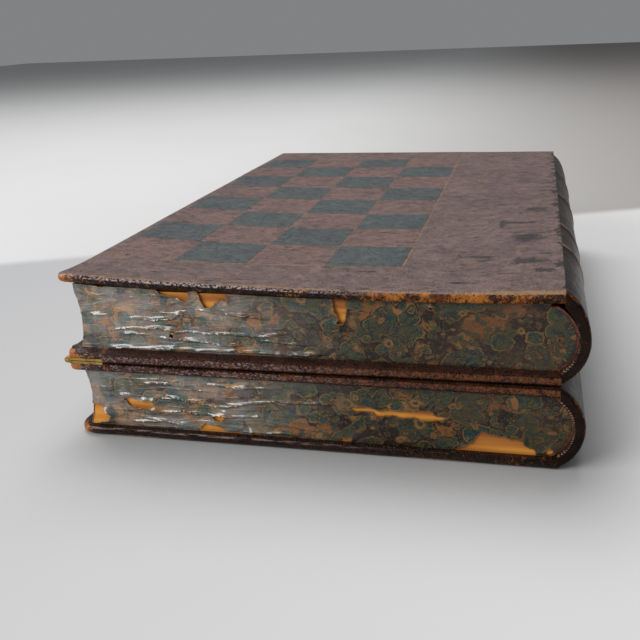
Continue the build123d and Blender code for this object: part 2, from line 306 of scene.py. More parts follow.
def sprung(at):
    """The cupping, which levels out high at the back, and the front edge sprung up at its fore end."""
    back = held((at.y + 60 * MM) / (200 * MM))
    back = back * back * (3 - 2 * back)
    near_front = held((-at.y - end_y + 30 * MM) / (30 * MM))
    along = held((at.x - fore_x) / (joint_x - fore_x))
    lift = 1.5 * MM * max(0.0, 1 - (along / 0.68) ** 3) - 1.1 * MM * max(0.0, (along - 0.68) / 0.32)
    return cupped(at.x) * (1 - back) + 0.95 * cup_rise * back + lift * near_front * near_front


board_corner = {"lower": 7.5 * MM, "upper": 3.4 * MM}
for side in ("lower", "upper"):
    board_low, board_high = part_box(f"{side}_cover_board")
    board = block(f"{side}_board", board_low, board_high)
    open_up(board)
    choose(board, "EDGE", lambda at, way: abs(way.z) > 0.9 and at.x < cover_middle)
    bpy.ops.mesh.bevel(offset=board_corner[side], segments=7)
    if side == "upper":
        cut_at(0, spaced(board_low.x, board_high.x, 7 * MM))
        cut_at(1, spaced(board_low.y, board_high.y, 10 * MM))
    leave_all()
    if side == "upper":
        reshape(board, "Z", sprung)
    dress(board, board_wood)
    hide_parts(f"{side}_cover_board")
    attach(board, f"{side}_volume")

# ============================================================ 2. Cover leathers and chess squares
# Thin brown calf pasted over the outside of each board, round three edges and turned in to the tray.
# Sixteen squares of green-black calf are let into it and ruled round with gilt lines. The leather is
# dull with handling, and rubbed to bare orange hide along its edges and corners.
leather_wall = 0.6 * MM
cover_round = 1.85 * MM
square = 34.0 * MM
first_column = fore_x + 4.0 * MM
column_end = first_column + 4 * square
board_end = 4 * square
tool_slant = 0.7



def joined_up(pieces, name):
    """Makes one piece of several."""
    pick(pieces[0])
    for piece in pieces:
        piece.select_set(True)
    bpy.ops.object.join()
    return named(name)


def smooth(piece, angle=40):
    pick(piece)
    bpy.ops.object.shade_smooth_by_angle(angle=math.radians(angle))


def swell(*place):
    """Slow unevenness at a place, about -1 to 1."""
    return noise.noise(Vector(place))


def minus(first, second):
    return calc("SUBTRACT", first, second)


def apart(first, second):
    """The gap between two values, whichever is more."""
    return calc("ABSOLUTE", minus(first, second))


def axes(place):
    """A place or a direction as three values."""
    return put("SeparateXYZ", Vector=place).outputs


def facing(tree):
    """The surface's own direction."""
    return axes(put("TexCoord", tree=tree).outputs["Normal"])


def shaken(noisy, reach, place):
    """Moves a place about by a noise's colour."""
    moved = put("VectorMath", {"operation": "MULTIPLY_ADD"}, i0=noisy.outputs["Color"],
                i1=(reach, reach, reach), i2=place)
    return moved.outputs[0]


def distance(place, spot):
    return put("VectorMath", {"operation": "DISTANCE"}, i0=place, i1=spot).outputs["Value"]


def board_shape(name, low, high, corner, rounding, loose_corner=1.0):
    """A leather-covered board: fore corners rounded, and its faces' edges soft."""
    piece = block(name, low, high)
    open_up(piece)
    choose(piece, "EDGE", lambda at, way: abs(way.z) > 0.9 and at.x < low[0] + 1e-4 and at.y > 0)
    bpy.ops.mesh.bevel(offset=corner, segments=6)
    choose(piece, "EDGE", lambda at, way: abs(way.z) > 0.9 and at.x < low[0] + 1e-4 and at.y < low[1] + 1e-4)
    bpy.ops.mesh.bevel(offset=corner * loose_corner, segments=6)
    choose(piece, "EDGE", lambda at, way: abs(way.z) < 0.1 and at.x < high[0] - 1e-4)
    bpy.ops.mesh.bevel(offset=rounding, segments=4, affect="EDGES")
    return piece


def uneven(at, seed, size, height):
    """A slow swelling of a surface, either way."""
    return height * swell(at.x / size, at.y / size, at.z / size + seed)


# Old leather: pebbled grain, fine creases, blotches, and edges rubbed through to the hide.
old_leather, has, gives = effect(
    "old leather",
    {"place": ("place", (0, 0, 0)), "hide": ("colour", (1, 1, 1, 1)), "deep": ("colour", (0, 0, 0, 1)),
     "bare": ("colour", (1, 0.5, 0.2, 1)), "rubbed": ("value", 0.5), "pebble": ("value", 1500.0),
     "stained": ("value", 0.5)},
    {"colour": "colour", "rough": "value", "height": "value", "bare": "value"},
)
blotch = clouds(has["place"], 26.0, 4.0, 0.6, 0.6)
smudge = clouds(has["place"], 160.0, 6.0, 0.75)
fleck = clouds(has["place"], 1100.0, 3.0, 0.7)
crease = apart(clouds(has["place"], 210.0, 3.0, 0.6, 1.4), 0.5)
crease = between(crease, 0.0, 0.018, 1.0, 0.0)
pebbles = put("TexVoronoi", {"feature": "SMOOTH_F1"}, Vector=has["place"], Scale=has["pebble"],
              Smoothness=0.4).outputs["Distance"]
tone = plus(times(blotch, 0.3), times(smudge, 0.7))
skin_tone = mix(between(tone, 0.36, 0.62), has["deep"], has["hide"])
skin_tone = mix(between(fleck, 0.52, 0.66, 0.0, 0.75), skin_tone, has["deep"])
skin_tone = mix(times(crease, 0.5), skin_tone, has["deep"])
dirt = times(between(blotch, 0.55, 0.68), has["stained"])
skin_tone = mix(dirt, skin_tone, has["deep"])
lean = facing(old_leather)
flat = [calc("ABSOLUTE", lean[axis]) for axis in range(3)]
flat = calc("MAXIMUM", calc("MAXIMUM", flat[0], flat[1]), flat[2])
ridge = between(flat, 0.985, 0.84)
patchy = plus(times(smudge, 0.5), times(fleck, 0.5))
rub = times_plus(ridge, has["rubbed"], minus(patchy, 1.12))
rub = between(rub, 0.0, 0.12)
shown = mix(rub, skin_tone, has["bare"])
gloss = between(tone, 0.3, 0.7, 0.34, 0.54)
relief = times_plus(pebbles, -0.5, times(crease, -0.45))
relief = plus(relief, times(smudge, 0.4))
give(gives, colour=shown, bare=rub, rough=times_plus(rub, 0.25, gloss), height=times_plus(rub, -0.25, relief))


def stroke_lines(place, pitch):
    """Short slanting tool strokes, with bare leather left between some of them."""
    turned = stretch(place, (1, 1, 1), (0, tool_slant, 0))
    lines = put("TexWave", {"wave_type": "BANDS", "bands_direction": "X"}, Scale=pitch, Distortion=2.0,
                Vector=turned, Detail=1.0, Detail_Scale=2.0).outputs["Fac"]
    gaps = between(clouds(place, 240.0, 2.0), 0.42, 0.6)
    return times(between(lines, 0.55, 0.9), gaps)


bare_hide = srgb(196, 122, 62)


def worn_edge(place, worn_share):
    """The outside edges of a board: near-black tooled calf, flecked with bare hide."""
    strokes = stroke_lines(place, 300.0)
    hide = mix(strokes, srgb(26, 14, 9), srgb(72, 38, 20))
    flecks = times_plus(clouds(place, 620.0, 4.0, 0.7), 0.55, times(clouds(place, 75.0, 4.0, 0.65), 0.45))
    flecks = between(plus(flecks, worn_share), 0.52, 0.62)
    burnt = mix(between(clouds(place, 190.0, 4.0, 0.7), 0.42, 0.58), srgb(88, 44, 16), srgb(186, 112, 42))
    return mix(flecks, hide, burnt), strokes, flecks


# Middle and half size of each stain on the cover, in millimetres.
ink_stains = (
    (78, -57, 8, 2.8), (71, -59, 1.6, 9), (87, -28, 6, 6), (84, -89, 7, 9), (84, -127.5, 7, 5),
    (63.6, -120.7, 9, 2), (60, -157.9, 5, 1.5), (19, -143, 6, 1.5), (90, -142, 4, 3),
)


def cover_finish(name, outer_sign):
    """The covers' leather: paler inside the ruled chessboard, grey-brown in the border."""
    material, shader, place = finish_of(name, Specular_IOR_Level=0.2)
    parts = axes(place)
    side_y = calc("ABSOLUTE", parts[1])
    in_board = calc("LESS_THAN", parts[0], column_end)
    in_board = times(in_board, calc("GREATER_THAN", parts[0], first_column))
    in_board = times(in_board, calc("LESS_THAN", side_y, board_end))
    outward = facing(shader.id_data)[2]
    outer = between(times(outward, outer_sign), 0.70, 0.92)
    field = use(old_leather, place=place, hide=srgb(117, 88, 80), deep=srgb(78, 61, 57), bare=bare_hide,
                stained=0.3)
    border = use(old_leather, place=place, hide=srgb(112, 90, 84), deep=srgb(78, 62, 58), bare=bare_hide,
                 stained=0.3)
    top = mix(in_board, border["colour"], field["colour"])
    # Fine cracks across the boards, and ink-dark stains in the border near the spine.
    cracks = clouds(stretch(place, (0.5, 1, 1)), 420.0, 3.0, 0.6, 0.4)
    cracks = between(cracks, 0.60, 0.68)
    long_cracks = clouds(stretch(place, (0.22, 1, 1)), 230.0, 4.0, 0.6, 0.6)
    cracks = calc("MAXIMUM", cracks, between(long_cracks, 0.63, 0.67))
    top = mix(times(cracks, 0.75), top, srgb(24, 18, 18))
    lightened = between(clouds(stretch(place, (0.6, 1, 1)), 300.0, 4.0, 0.6), 0.56, 0.66, 0.0, 0.16)
    top = mix(lightened, top, srgb(150, 116, 98))
    ragged = put("TexNoise", Vector=place, Scale=260.0, Detail=4.0, Roughness=0.7)
    frayed = shaken(ragged, 4 * MM, stretch(place, (1, 1, 1), shift=(-2 * MM, -2 * MM, -2 * MM)))
    for x, y, half_x, half_y in ink_stains:
        at_stain = stretch(frayed, (1000 / half_x, 1000 / half_y, 0), shift=(-x / half_x, -y / half_y, 0))
        spread = put("VectorMath", {"operation": "LENGTH"}, i0=at_stain).outputs["Value"]
        spread = times_plus(ragged.outputs["Fac"], 3.0, spread)
        top = mix(between(spread, 2.75, 2.1, 0.0, 0.75), top, srgb(16, 13, 14))
    # The leather has cracked along the joint, where it bends into the spine.
    ragged_joint = clouds(place, 120.0, 5.0, 0.65)
    split_joint = times_plus(ragged_joint, 24 * MM, minus(parts[0], joint_x))
    top = mix(between(split_joint, 11.2 * MM, 12.2 * MM, 0.0, 0.9), top, srgb(20, 14, 12))
    # Gilt fillets round the chessboard, mostly worn away.
    frame_line = calc("MINIMUM", apart(parts[0], column_end), apart(side_y, board_end))
    within = calc("LESS_THAN", parts[0], column_end + 0.6 * MM)
    within = times(within, calc("LESS_THAN", side_y, board_end + 0.6 * MM))
    gilt = times(between(frame_line, 0.7 * MM, 0.3 * MM), within)
    gilt = times(gilt, between(clouds(place, 110.0, 3.0), 0.36, 0.6, 0.12, 0.7))
    top = mix(gilt, top, srgb(132, 102, 66))
    # The ends are rubbed tan along their very edge, and wider at the corner by the spine.
    reach = times_plus(between(parts[0], 0.055, 0.088), 2.6 * MM, 0.35 * MM)
    streaks = clouds(stretch(place, (0.3, 1, 1)), 420.0, 5.0, 0.75)
    reach = times_plus(streaks, 6.0 * MM, minus(reach, 3.0 * MM))
    from_end = minus(end_y - cover_round * 0.6, side_y)
    tanned = between(minus(reach, from_end), -0.2 * MM, 0.6 * MM)
    top = mix(times(tanned, 0.75), top, srgb(140, 102, 58))
    upper = outer_sign > 0
    share = between(parts[0], -0.01, 0.06, 0.0 if upper else -0.1, 0.10 if upper else -0.04)
    from_tip = distance(place, (fore_x, -end_y, 70 * MM if upper else 0))
    share = plus(share, between(from_tip, 10 * MM, 3 * MM, 0.0, 0.3))
    edge, strokes, flecks = worn_edge(place, share)
    # Painted highlights: pale glint specks along the shoulder of the upper cover's edge, and a painted
    # highlight line along the lower cover's, both on the left part.
    level, steep = (0.08, 0.92) if upper else (0.25, 0.85)
    shoulder = times(between(outward, level, level + 0.2), between(outward, steep, steep - 0.2))
    glint_band = times(shoulder, between(parts[0], 0.05, -0.03, 0.0, 1.0))
    glints = clouds(stretch(place, (0.55 if upper else 0.08, 1, 1)), 1500.0, 3.0, 0.7)
    glints = times(glint_band, between(glints, 0.46, 0.56, 0.0, 0.9))
    edge = mix(glints, edge, srgb(196, 180, 184) if upper else srgb(158, 134, 128))
    colour = mix(outer, edge, top)
    rough = mix(outer, between(flecks, 0.0, 1.0, 0.16, 0.45), field["rough"])
    height = plus(field["height"], times(gilt, -0.5))
    height = plus(height, times(cracks, -0.5))
    knobbly = times_plus(clouds(place, 560.0, 4.0, 0.6), 7.0, times(strokes, 0.8))
    height = plus(height, times(knobbly, minus(1.0, outer)))
    coat(shader, colour, rough, height, 0.7, 0.0006)
    return material


square_hide, shader, place = finish_of("square leather", Specular_IOR_Level=0.3)
green = use(old_leather, place=place, hide=srgb(62, 71, 71), deep=srgb(34, 41, 45), bare=srgb(104, 80, 62),
            rubbed=0.75, stained=0.4)
cracks = between(clouds(stretch(place, (0.5, 1, 1)), 420.0, 3.0, 0.6, 0.4), 0.56, 0.64)
colour = mix(times(cracks, 0.7), green["colour"], srgb(20, 20, 20))
colour = mix(between(clouds(place, 150.0, 4.0, 0.7), 0.60, 0.70, 0.0, 0.5), colour, srgb(98, 76, 66))
coat(shader, colour, green["rough"], plus(green["height"], times(cracks, -0.5)), 0.6, 0.0006)

wall_x, wall_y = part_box("lower_fore_edge_wall")[0].x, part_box("lower_back_wall")[1].y
proud = 0.12 * MM
inlay_edge = 0.45 * MM
inlay_depth = 0.3 * MM
for side, outer_sign in (("lower", -1), ("upper", 1)):
    low, high = (list(corner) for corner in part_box(f"{side}_cover_leather"))
    outer_z, inner_z = (high[2], low[2]) if side == "upper" else (low[2], high[2])
    if side == "upper":
        high[2] -= proud
    else:
        low[2] += proud
    corner_wear = 1.0 if side == "upper" else 2.6
    shell = board_shape(f"{side}_cover_skin", low, high, 3.2 * MM, cover_round, corner_wear)
    open_up(shell)
    cut_at(0, [fore_x + 2.2 * MM, wall_x] + spaced(wall_x, joint_x, 6 * MM))
    cut_at(1, [-wall_y, wall_y, -wall_y - 1.6 * MM, wall_y + 1.6 * MM] + spaced(-wall_y, wall_y, 8 * MM))
    choose(shell, "FACE", lambda at, n: abs(at.z - inner_z) < 1e-5 and at.x > wall_x and abs(at.y) < wall_y)
    bpy.ops.mesh.delete(type="FACE")
    leave_all()
    work(shell, "SOLIDIFY", thickness=leather_wall, offset=-1.0, use_even_offset=False)
    seed = 3.0 if side == "upper" else 8.0

    def risen(at):
        return sprung(at) + uneven(at, seed, 0.045, 0.22 * MM)

    if side == "upper":
        reshape(shell, "Z", risen)
    reshape(shell, "Y", lambda at: uneven(at, seed + 4, 0.03, 0.3 * MM) * (abs(at.y) / end_y) ** 8)
    smooth(shell, 50)
    dress(shell, cover_finish(f"{side} cover leather", outer_sign))
    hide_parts(f"{side}_cover_leather")
    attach(shell, f"{side}_volume")

    squares = []
    under_z = outer_z - outer_sign * inlay_depth
    for column in range(4):
        for row in range(8):
            if (column + row) % 2 != (1 if side == "upper" else 0):
                continue
            x, y = first_column + column * square, (row - 4) * square
            inlay = block("inlay", (x + inlay_edge, y + inlay_edge, min(outer_z, under_z)),
                          (x + square - inlay_edge, y + square - inlay_edge, max(outer_z, under_z)))
            open_up(inlay)
            choose(inlay, "EDGE", lambda at, way: abs(at.z - outer_z) < 1e-6)
            bpy.ops.mesh.bevel(offset=0.1 * MM, segments=1)
            cut_at(0, spaced(x, x + square, 6 * MM))
            cut_at(1, spaced(y, y + square, 8 * MM))
            squares.append(inlay)
    inlays = joined_up(squares, f"{side}_inlaid_squares")
    if side == "upper":
        reshape(inlays, "Z", risen)
    dress(inlays, square_hide)
    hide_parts(f"{side}_dark_squares")
    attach(inlays, f"{side}_volume")

# ============================================================ 3. Tray walls
# Deal, sawn thin: two long walls housed in two end walls, glued round the board. The block of a book
# is shaped from them, hollow along the fore-edge and rounded at the back.
across_box = (0, 0, math.radians(90))
deal_pale, deal_dark = srgb(238, 160, 60), srgb(150, 84, 28)
deal_long = wood("deal along the box", deal_pale, deal_dark, 110.0)
deal_cross = wood("deal across the box", deal_pale, deal_dark, 110.0, across_box)
for side in ("lower", "upper"):
    for end in ("front", "back"):
        dress(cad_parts[f"{side}_{end}_wall"], deal_cross)
    for edge in ("fore_edge", "spine"):
        dress(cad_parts[f"{side}_{edge}_wall"], deal_long)


# ============================================================ 4. Marbled papers
# Shell-marbled paper pasted over the ends and the hollow fore-edge of each block, and varnished. It
# has shrunk into ridges, sprung off under the cupped cover and torn away from the wood in places.
upper_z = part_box("upper_front_paper")
lower_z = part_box("lower_front_paper")
book_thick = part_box("lower_rim_leather")[1].z
split_z = (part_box("upper_rim_leather")[0].z + book_thick) / 2
paper_y = -upper_z[0].y
fore_paper_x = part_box("upper_fore_edge_paper")[0].x
shell_inner = 14.62 * MM
spine_axis_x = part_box("upper_spine_tube")[1].x - shell_inner
block_back = 13.62 * MM
fore_hollow = 2.5 * MM
fore_bow = 38.24 * MM



def shades(value, stops):
    """A colour ramp from (place, colour) pairs."""
    ramp = put("ValToRGB", Fac=value)
    marks = ramp.color_ramp.elements
    while len(marks) < len(stops):
        marks.new(0.5)
    for mark, (place, colour) in zip(marks, stops):
        mark.position = place
        mark.color = colour
    return ramp.outputs[0]


shell_marbling, has, gives = effect(
    "shell marbling",
    {"place": ("place", (0, 0, 0)), "size": ("value", 90.0), "faded": ("value", 0.0)},
    {"colour": "colour", "height": "value"},
)
swirl = put("TexNoise", Vector=has["place"], Scale=60.0, Detail=2.0, Roughness=0.5)
drift = shaken(swirl, 9 * MM, has["place"])
ripple = put("TexNoise", Vector=has["place"], Scale=380.0, Detail=3.0, Roughness=0.6)
drift = shaken(ripple, 1.7 * MM, drift)
patches = clouds(drift, 75.0, 2.0)
ground = mix(between(patches, 0.50, 0.56), srgb(22, 17, 14), srgb(122, 76, 36))
threads = apart(clouds(drift, 260.0, 3.0, 0.55, 1.2), 0.5)
tint = mix(between(threads, 0.012, 0.035, 0.8, 0.0), ground, srgb(84, 60, 38))
# Each drop: mottled blue-green in the middle, a green band, a thin olive ring and a dark rim.
mottled = clouds(drift, 420.0, 3.0, 0.6, 0.8)
middle = mix(between(mottled, 0.44, 0.56), srgb(18, 40, 50), srgb(56, 64, 36))
filaments = apart(mottled, 0.52)
middle = mix(between(filaments, 0.0, 0.03, 0.75, 0.0), middle, srgb(106, 90, 46))
shell_rings = [(0.0, srgb(14, 38, 48)), (0.30, srgb(22, 48, 50)), (0.50, srgb(40, 58, 34)),
               (0.76, srgb(32, 50, 34)), (0.83, srgb(118, 88, 44)), (0.90, srgb(20, 15, 12))]
tawny_rings = [(0.0, srgb(20, 44, 52)), (0.30, srgb(40, 58, 42)), (0.40, srgb(128, 88, 46)),
               (0.66, srgb(136, 92, 48)), (0.76, srgb(56, 60, 38)), (0.90, srgb(120, 84, 46)),
               (0.97, srgb(24, 20, 16))]
# Large, small and finest drops: how much finer, their reach, and how many are left out or not tawny.
drop_kinds = ((1.0, 0.64, 0.10, 0.80), (1.75, 0.50, 0.42, 0.74), (3.2, 0.46, 0.40, 0.80))
for finer, reach, left_out, green_share in drop_kinds:
    drops = put("TexVoronoi", Vector=drift, Scale=times(has["size"], finer), Randomness=0.85)
    chance = put("SeparateColor", Color=drops.outputs["Color"]).outputs
    radius = times_plus(chance[2], 0.2, reach - 0.1)
    from_middle = calc("DIVIDE", drops.outputs["Distance"], radius)
    from_middle = times_plus(minus(ripple.outputs["Fac"], 0.5), 0.34, from_middle)
    shell = shades(from_middle, shell_rings)
    tawny = shades(from_middle, tawny_rings)
    drop = mix(between(from_middle, 0.72, 0.82), middle, shell)
    drop = mix(0.35, drop, shell)
    drop = mix(between(chance[0], green_share, green_share + 0.04), drop, tawny)
    there = times(between(from_middle, 1.02, 0.94), calc("GREATER_THAN", chance[1], left_out))
    tint = mix(there, tint, drop)
speckle = clouds(has["place"], 1500.0, 2.0, 0.6)
tint = mix(between(speckle, 0.50, 0.70, 0.0, 0.55), tint, srgb(20, 22, 20))
tint = mix(between(speckle, 0.36, 0.28, 0.0, 0.5), tint, srgb(150, 118, 70))
# Painted sheen: a pale grey and pink wash laid over the drops, by the share given.
sheen_tint = clouds(has["place"], 120.0, 4.0, 0.65)
sheen_tint = mix(between(sheen_tint, 0.48, 0.6), srgb(132, 132, 130), srgb(166, 124, 98))
tint = mix(has["faded"], tint, sheen_tint)
give(gives, colour=tint, height=ripple.outputs["Fac"])

marbled, shader, place = finish_of("marbled paper", Coat_Roughness=0.13, Specular_IOR_Level=0.3)
parts = axes(place)
left = between(parts[0], 0.03, -0.05)
left = times(left, between(parts[1], 0.0, -0.1))
# Painted sheen on the left part of the paper: pale grey-pink patches, where the varnish would shine.
sheen_share = clouds(stretch(place, (0.35, 1, 1.4)), 110.0, 4.0, 0.6)
sheen_share = times(left, between(sheen_share, 0.40, 0.62, 0.04, 0.34))
inked = use(shell_marbling, place=stretch(place, (0.85, 0.85, 1.05)), size=104.0, faded=sheen_share)
torn = put("Attribute", {"attribute_name": "torn"}, shader.id_data).outputs["Fac"]
grime = between(clouds(place, 45.0, 4.0, 0.7), 0.5, 0.7, 0.0, 0.35)
colour = mix(grime, inked["colour"], srgb(52, 44, 38))
colour = mix(between(torn, 0.55, 0.98, 0.0, 0.8), colour, srgb(128, 92, 56))
rough = between(clouds(place, 240.0, 3.0), 0.35, 0.65, 0.24, 0.46)
# Small cockles in the varnished sheet, long across the block, strongest where it has dried out.
cockles = apart(clouds(stretch(place, (0.16, 1, 1)), 300.0, 2.0, 0.5), 0.5)
cockles = times(between(cockles, 0.10, 0.0), times_plus(left, 0.6, 0.1))
give(shader.inputs, **{"Coat Weight": times_plus(left, 0.85, 0.1)})
# Patches of darker brown towards the spine end.
darker_right = times(between(parts[0], 0.0, 0.08), between(clouds(place, 60.0, 3.0), 0.4, 0.6, 0.0, 0.35))
colour = mix(darker_right, colour, srgb(74, 50, 28))
# More painted sheen over the left part: a pink tint, and a copy of the colour made lighter.
pink = times(left, between(clouds(place, 90.0, 4.0, 0.65), 0.45, 0.62, 0.0, 0.22))
colour = mix(pink, colour, srgb(168, 140, 128))
lightened = put("VectorMath", {"operation": "MULTIPLY"}, i0=colour, i1=(1.5, 1.68, 1.8)).outputs[0]
colour = mix(left, colour, lightened)
grit = times_plus(clouds(place, 900.0, 3.0), 0.5, cockles)
coat(shader, colour, rough, grit, 0.65, 0.0005)


def sides(outline):
    """Each side of a torn outline, as its two ends."""
    return zip(outline, outline[1:] + outline[:1])


def inside(outline, x, z):
    """True if a place on an end lies within a torn outline."""
    crossed = False
    for (x1, z1), (x2, z2) in sides(outline):
        if (z1 > z) != (z2 > z) and x < (x2 - x1) * (z - z1) / (z2 - z1) + x1:
            crossed = not crossed
    return crossed


def away(outline, x, z):
    """Distance from a place on an end to the nearest side of a torn outline."""
    nearest = 1.0e9
    for (x1, z1), (x2, z2) in sides(outline):
        dx, dz = x2 - x1, z2 - z1
        share = held(((x - x1) * dx + (z - z1) * dz) / max(dx * dx + dz * dz, 1e-9))
        nearest = min(nearest, math.hypot(x - x1 - share * dx, z - z1 - share * dz))
    return nearest


def hollow_at(z, middle_z):
    """The block's hollow fore-edge, at a height."""
    return fore_paper_x + fore_hollow - fore_bow + math.sqrt(fore_bow**2 - (z - middle_z) ** 2)


def back_at(z, middle_z):
    """The block's rounded back, at a height."""
    return spine_axis_x + math.sqrt(max(block_back**2 - (z - middle_z) ** 2, 0.0))


def standing_sheet(name, cells, wide, middle, low_z, high_z, turn):
    """A flat sheet that stands on edge, in small cells."""
    leave_all()
    bpy.ops.mesh.primitive_grid_add(x_subdivisions=cells[0], y_subdivisions=cells[1], size=1,
                                    rotation=(math.radians(90), 0, math.radians(turn)))
    sheet = named(name)
    sheet.scale = (wide, high_z - low_z, 1)
    sheet.location = (*middle, (low_z + high_z) / 2)
    bpy.ops.object.transform_apply()
    return sheet


def mark_torn(sheet, how_near):
    """Keeps how near each point is to a torn edge, for the paper's look."""
    marks = sheet.data.attributes.new("torn", "FLOAT", "POINT")
    for point, mark in zip(sheet.data.vertices, marks.data):
        mark.value = max(0.0, 1 - how_near(point.co))


paper_z = {"lower": [corner.z for corner in lower_z], "upper": [corner.z for corner in upper_z]}
drawn_x = 104.15             # the outlines' own x counts from here, in millimetres, beyond the box's middle
ridge_height = 1.2 * MM
curl_reach = 4.5             # millimetres round a tear where the paper has curled up
torn_fringe = 1.3 * MM
sheet_thick = 0.22 * MM


def end_paper(side, end, tears, crests, ridges, cell=0.5 * MM, loose_top=(0, 0)):
    """One end's paper. Tears and crests of folds are in millimetres from the fore-edge and table."""
    low_z, high_z = paper_z[side]
    middle_z = (low_z + high_z) / 2
    out = -1 if end == "front" else 1
    start_x, stop_x = fore_paper_x, spine_axis_x + block_back
    wide = stop_x - start_x
    cells = round(wide / cell), round((high_z - low_z) / (0.7 * cell))
    middle = ((start_x + stop_x) / 2, out * (paper_y - 0.05 * MM))
    name = f"{side}_{end}_marbled_paper"
    sheet = standing_sheet(name, cells, wide, middle, low_z, high_z, 0 if out < 0 else 180)

    def to_outline(at):
        share = (at.x - start_x) / wide
        height = min(at.z, high_z)
        left_x, right_x = hollow_at(height, middle_z), back_at(height, middle_z)
        return left_x + share * (right_x - left_x) - at.x

    if side == "upper":
        def to_cover(at):
            share = (at.z - low_z) / (high_z - low_z)
            short = 0.75 * MM * held((-0.055 - at.x) / 0.03) ** 0.5 if out < 0 else 0.2 * MM
            return share * share * (sprung(Vector((at.x, out * paper_y, 0))) - short)

        reshape(sheet, "Z", to_cover)
    reshape(sheet, "X", to_outline)
    outlines = [[((x - drawn_x) * MM, z * MM) for x, z in outline] for outline in tears]
    seed = 10.0 * len(tears) + (3 if side == "upper" else 7)

    def ridged(at):
        x, z = at.x / MM + drawn_x, at.z / MM
        rise = 0.0
        for crest in crests:
            if not crest[0][0] - 4 < x < crest[-1][0] + 4:
                continue
            crest_z = crest[0][1]
            for (x1, z1), (x2, z2) in zip(crest, crest[1:]):
                crest_z += (z2 - z1) * held((x - x1) / (x2 - x1))
            above = z - crest_z - 0.5 * swell(x / 5, crest[0][0], 2.0)
            ends = max(0.0, min(1.0, (x - crest[0][0] + 4) / 5, (crest[-1][0] + 4 - x) / 5))
            full = 0.9 + 0.35 * swell(x / 9, crest[0][0], 6.0)
            slope = math.exp(-above / 0.95) if above > 0 else math.exp(above / 0.24)
            rise = max(rise, ridge_height * ends * full * slope)
        rippled = swell(at.x / 0.030, seed, at.z / 0.0038 + swell(at.x / 0.02, 2, 0))
        sharp = max(0.0, 1 - 4.0 * abs(rippled)) ** 1.3
        slack = swell(at.x / 0.05, seed + 20, at.z / 0.012)
        rise += ridges(at.x) * (0.34 * MM * sharp + 0.35 * MM * slack)
        for number, outline in enumerate(outlines):
            near = away(outline, at.x, at.z) / MM
            if near < curl_reach:
                curl = 0.65 + swell(x / 5, seed + 30, z / 5)
                rise += (2.0 if number < 3 else 1.0) * MM * max(0.0, curl) * (1 - near / curl_reach) ** 2
        if loose_top[0] < x < loose_top[1]:
            ends = min(1.0, (x - loose_top[0]) / 12, (loose_top[1] - x) / 3)
            rise += 1.7 * MM * ends * math.exp((z - high_z / MM) / 3.2)
        edge = min(at.z - low_z, 0.0015) / 0.0015
        return out * max(rise, -0.02 * MM) * max(0.15, edge)

    reshape(sheet, "Y", ridged)
    wobble, fine = 0.55 * MM, 1.6 * MM

    def torn_away(at, n):
        x = at.x + wobble * swell(at.x / fine, 1.0, at.z / fine)
        z = at.z + wobble * swell(at.x / fine, 5.0, at.z / fine)
        return any(inside(outline, x, z) for outline in outlines)

    if outlines:
        open_up(sheet)
        choose(sheet, "FACE", torn_away)
        bpy.ops.mesh.delete(type="FACE")
        leave_all()
    gaps = lambda at: [away(outline, at.x, at.z) for outline in outlines]
    mark_torn(sheet, lambda at: min(gaps(at), default=1.0) / torn_fringe)
    work(sheet, "SOLIDIFY", thickness=sheet_thick, offset=-1.0)
    smooth(sheet, 60)
    dress(sheet, marbled)
    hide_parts(f"{side}_{end}_paper")
    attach(sheet, f"{side}_volume")


upper_front_tears = [
    [(36.7, 69.5), (55.1, 69.5), (54.9, 62.4), (52.1, 63.2), (49.0, 64.3), (43.5, 65.6)],
    [(58.6, 69.5), (72.5, 69.5), (71.4, 63.0), (67.9, 63.7), (64.5, 60.4), (61.7, 60.5), (60.2, 63.2)],
    [(113.6, 69.0), (120.6, 69.0), (120.2, 58.3), (118.8, 55.6), (116.0, 56.0), (117.1, 58.0), (115.2, 62.5)],
    [(152.3, 64.0), (154.1, 64.0), (154.0, 62.8), (152.5, 62.8)],
    [(13.5, 69.0), (18.5, 68.8), (18.0, 67.7), (14.8, 67.5)],
    [(45.2, 48.7), (47.8, 48.2), (47.0, 46.8), (45.6, 46.9)],
    [(200.2, 53.8), (201.9, 53.4), (201.3, 52.2), (200.0, 52.6)],
]
lower_front_tears = [
    [(5.4, 14.5), (8.2, 14.1), (13.9, 9.0), (13.2, 7.1), (8.4, 5.2), (3.6, 3.6), (3.8, 8.0)],
    [(20.5, 17.4), (33.8, 16.7), (34.5, 13.8), (28.0, 14.2), (23.5, 14.5)],
    [(60.7, 12.1), (66.7, 12.5), (64.9, 9.4), (61.8, 10.5)],
    [(52.6, 3.6), (57.1, 8.2), (63.1, 7.6), (66.1, 5.1), (73.3, 4.9), (72.4, 3.5), (53.4, 2.9)],
    [(77.7, 6.0), (80.1, 5.7), (79.6, 4.1), (77.9, 4.2)],
    [(119.1, 19.8), (125.8, 20.8), (132.3, 19.3), (143.0, 20.2), (153.4, 20.4), (155.2, 18.4), (159.0, 17.7),
     (158.0, 16.9), (148.8, 16.2), (146.0, 17.4), (140.2, 16.7), (138.8, 17.8), (130.8, 17.0), (129.4, 18.5),
     (122.8, 18.6)],
    [(115.5, 6.0), (120.9, 5.6), (120.0, 4.1), (116.2, 4.2)],
    [(162.0, 4.0), (169.3, 8.3), (173.0, 12.9), (179.6, 11.5), (188.8, 10.3), (189.6, 8.0), (193.3, 6.8),
     (194.5, 4.0)],
    [(196.7, 6.3), (199.3, 8.1), (200.8, 6.3), (199.5, 4.4)],
]
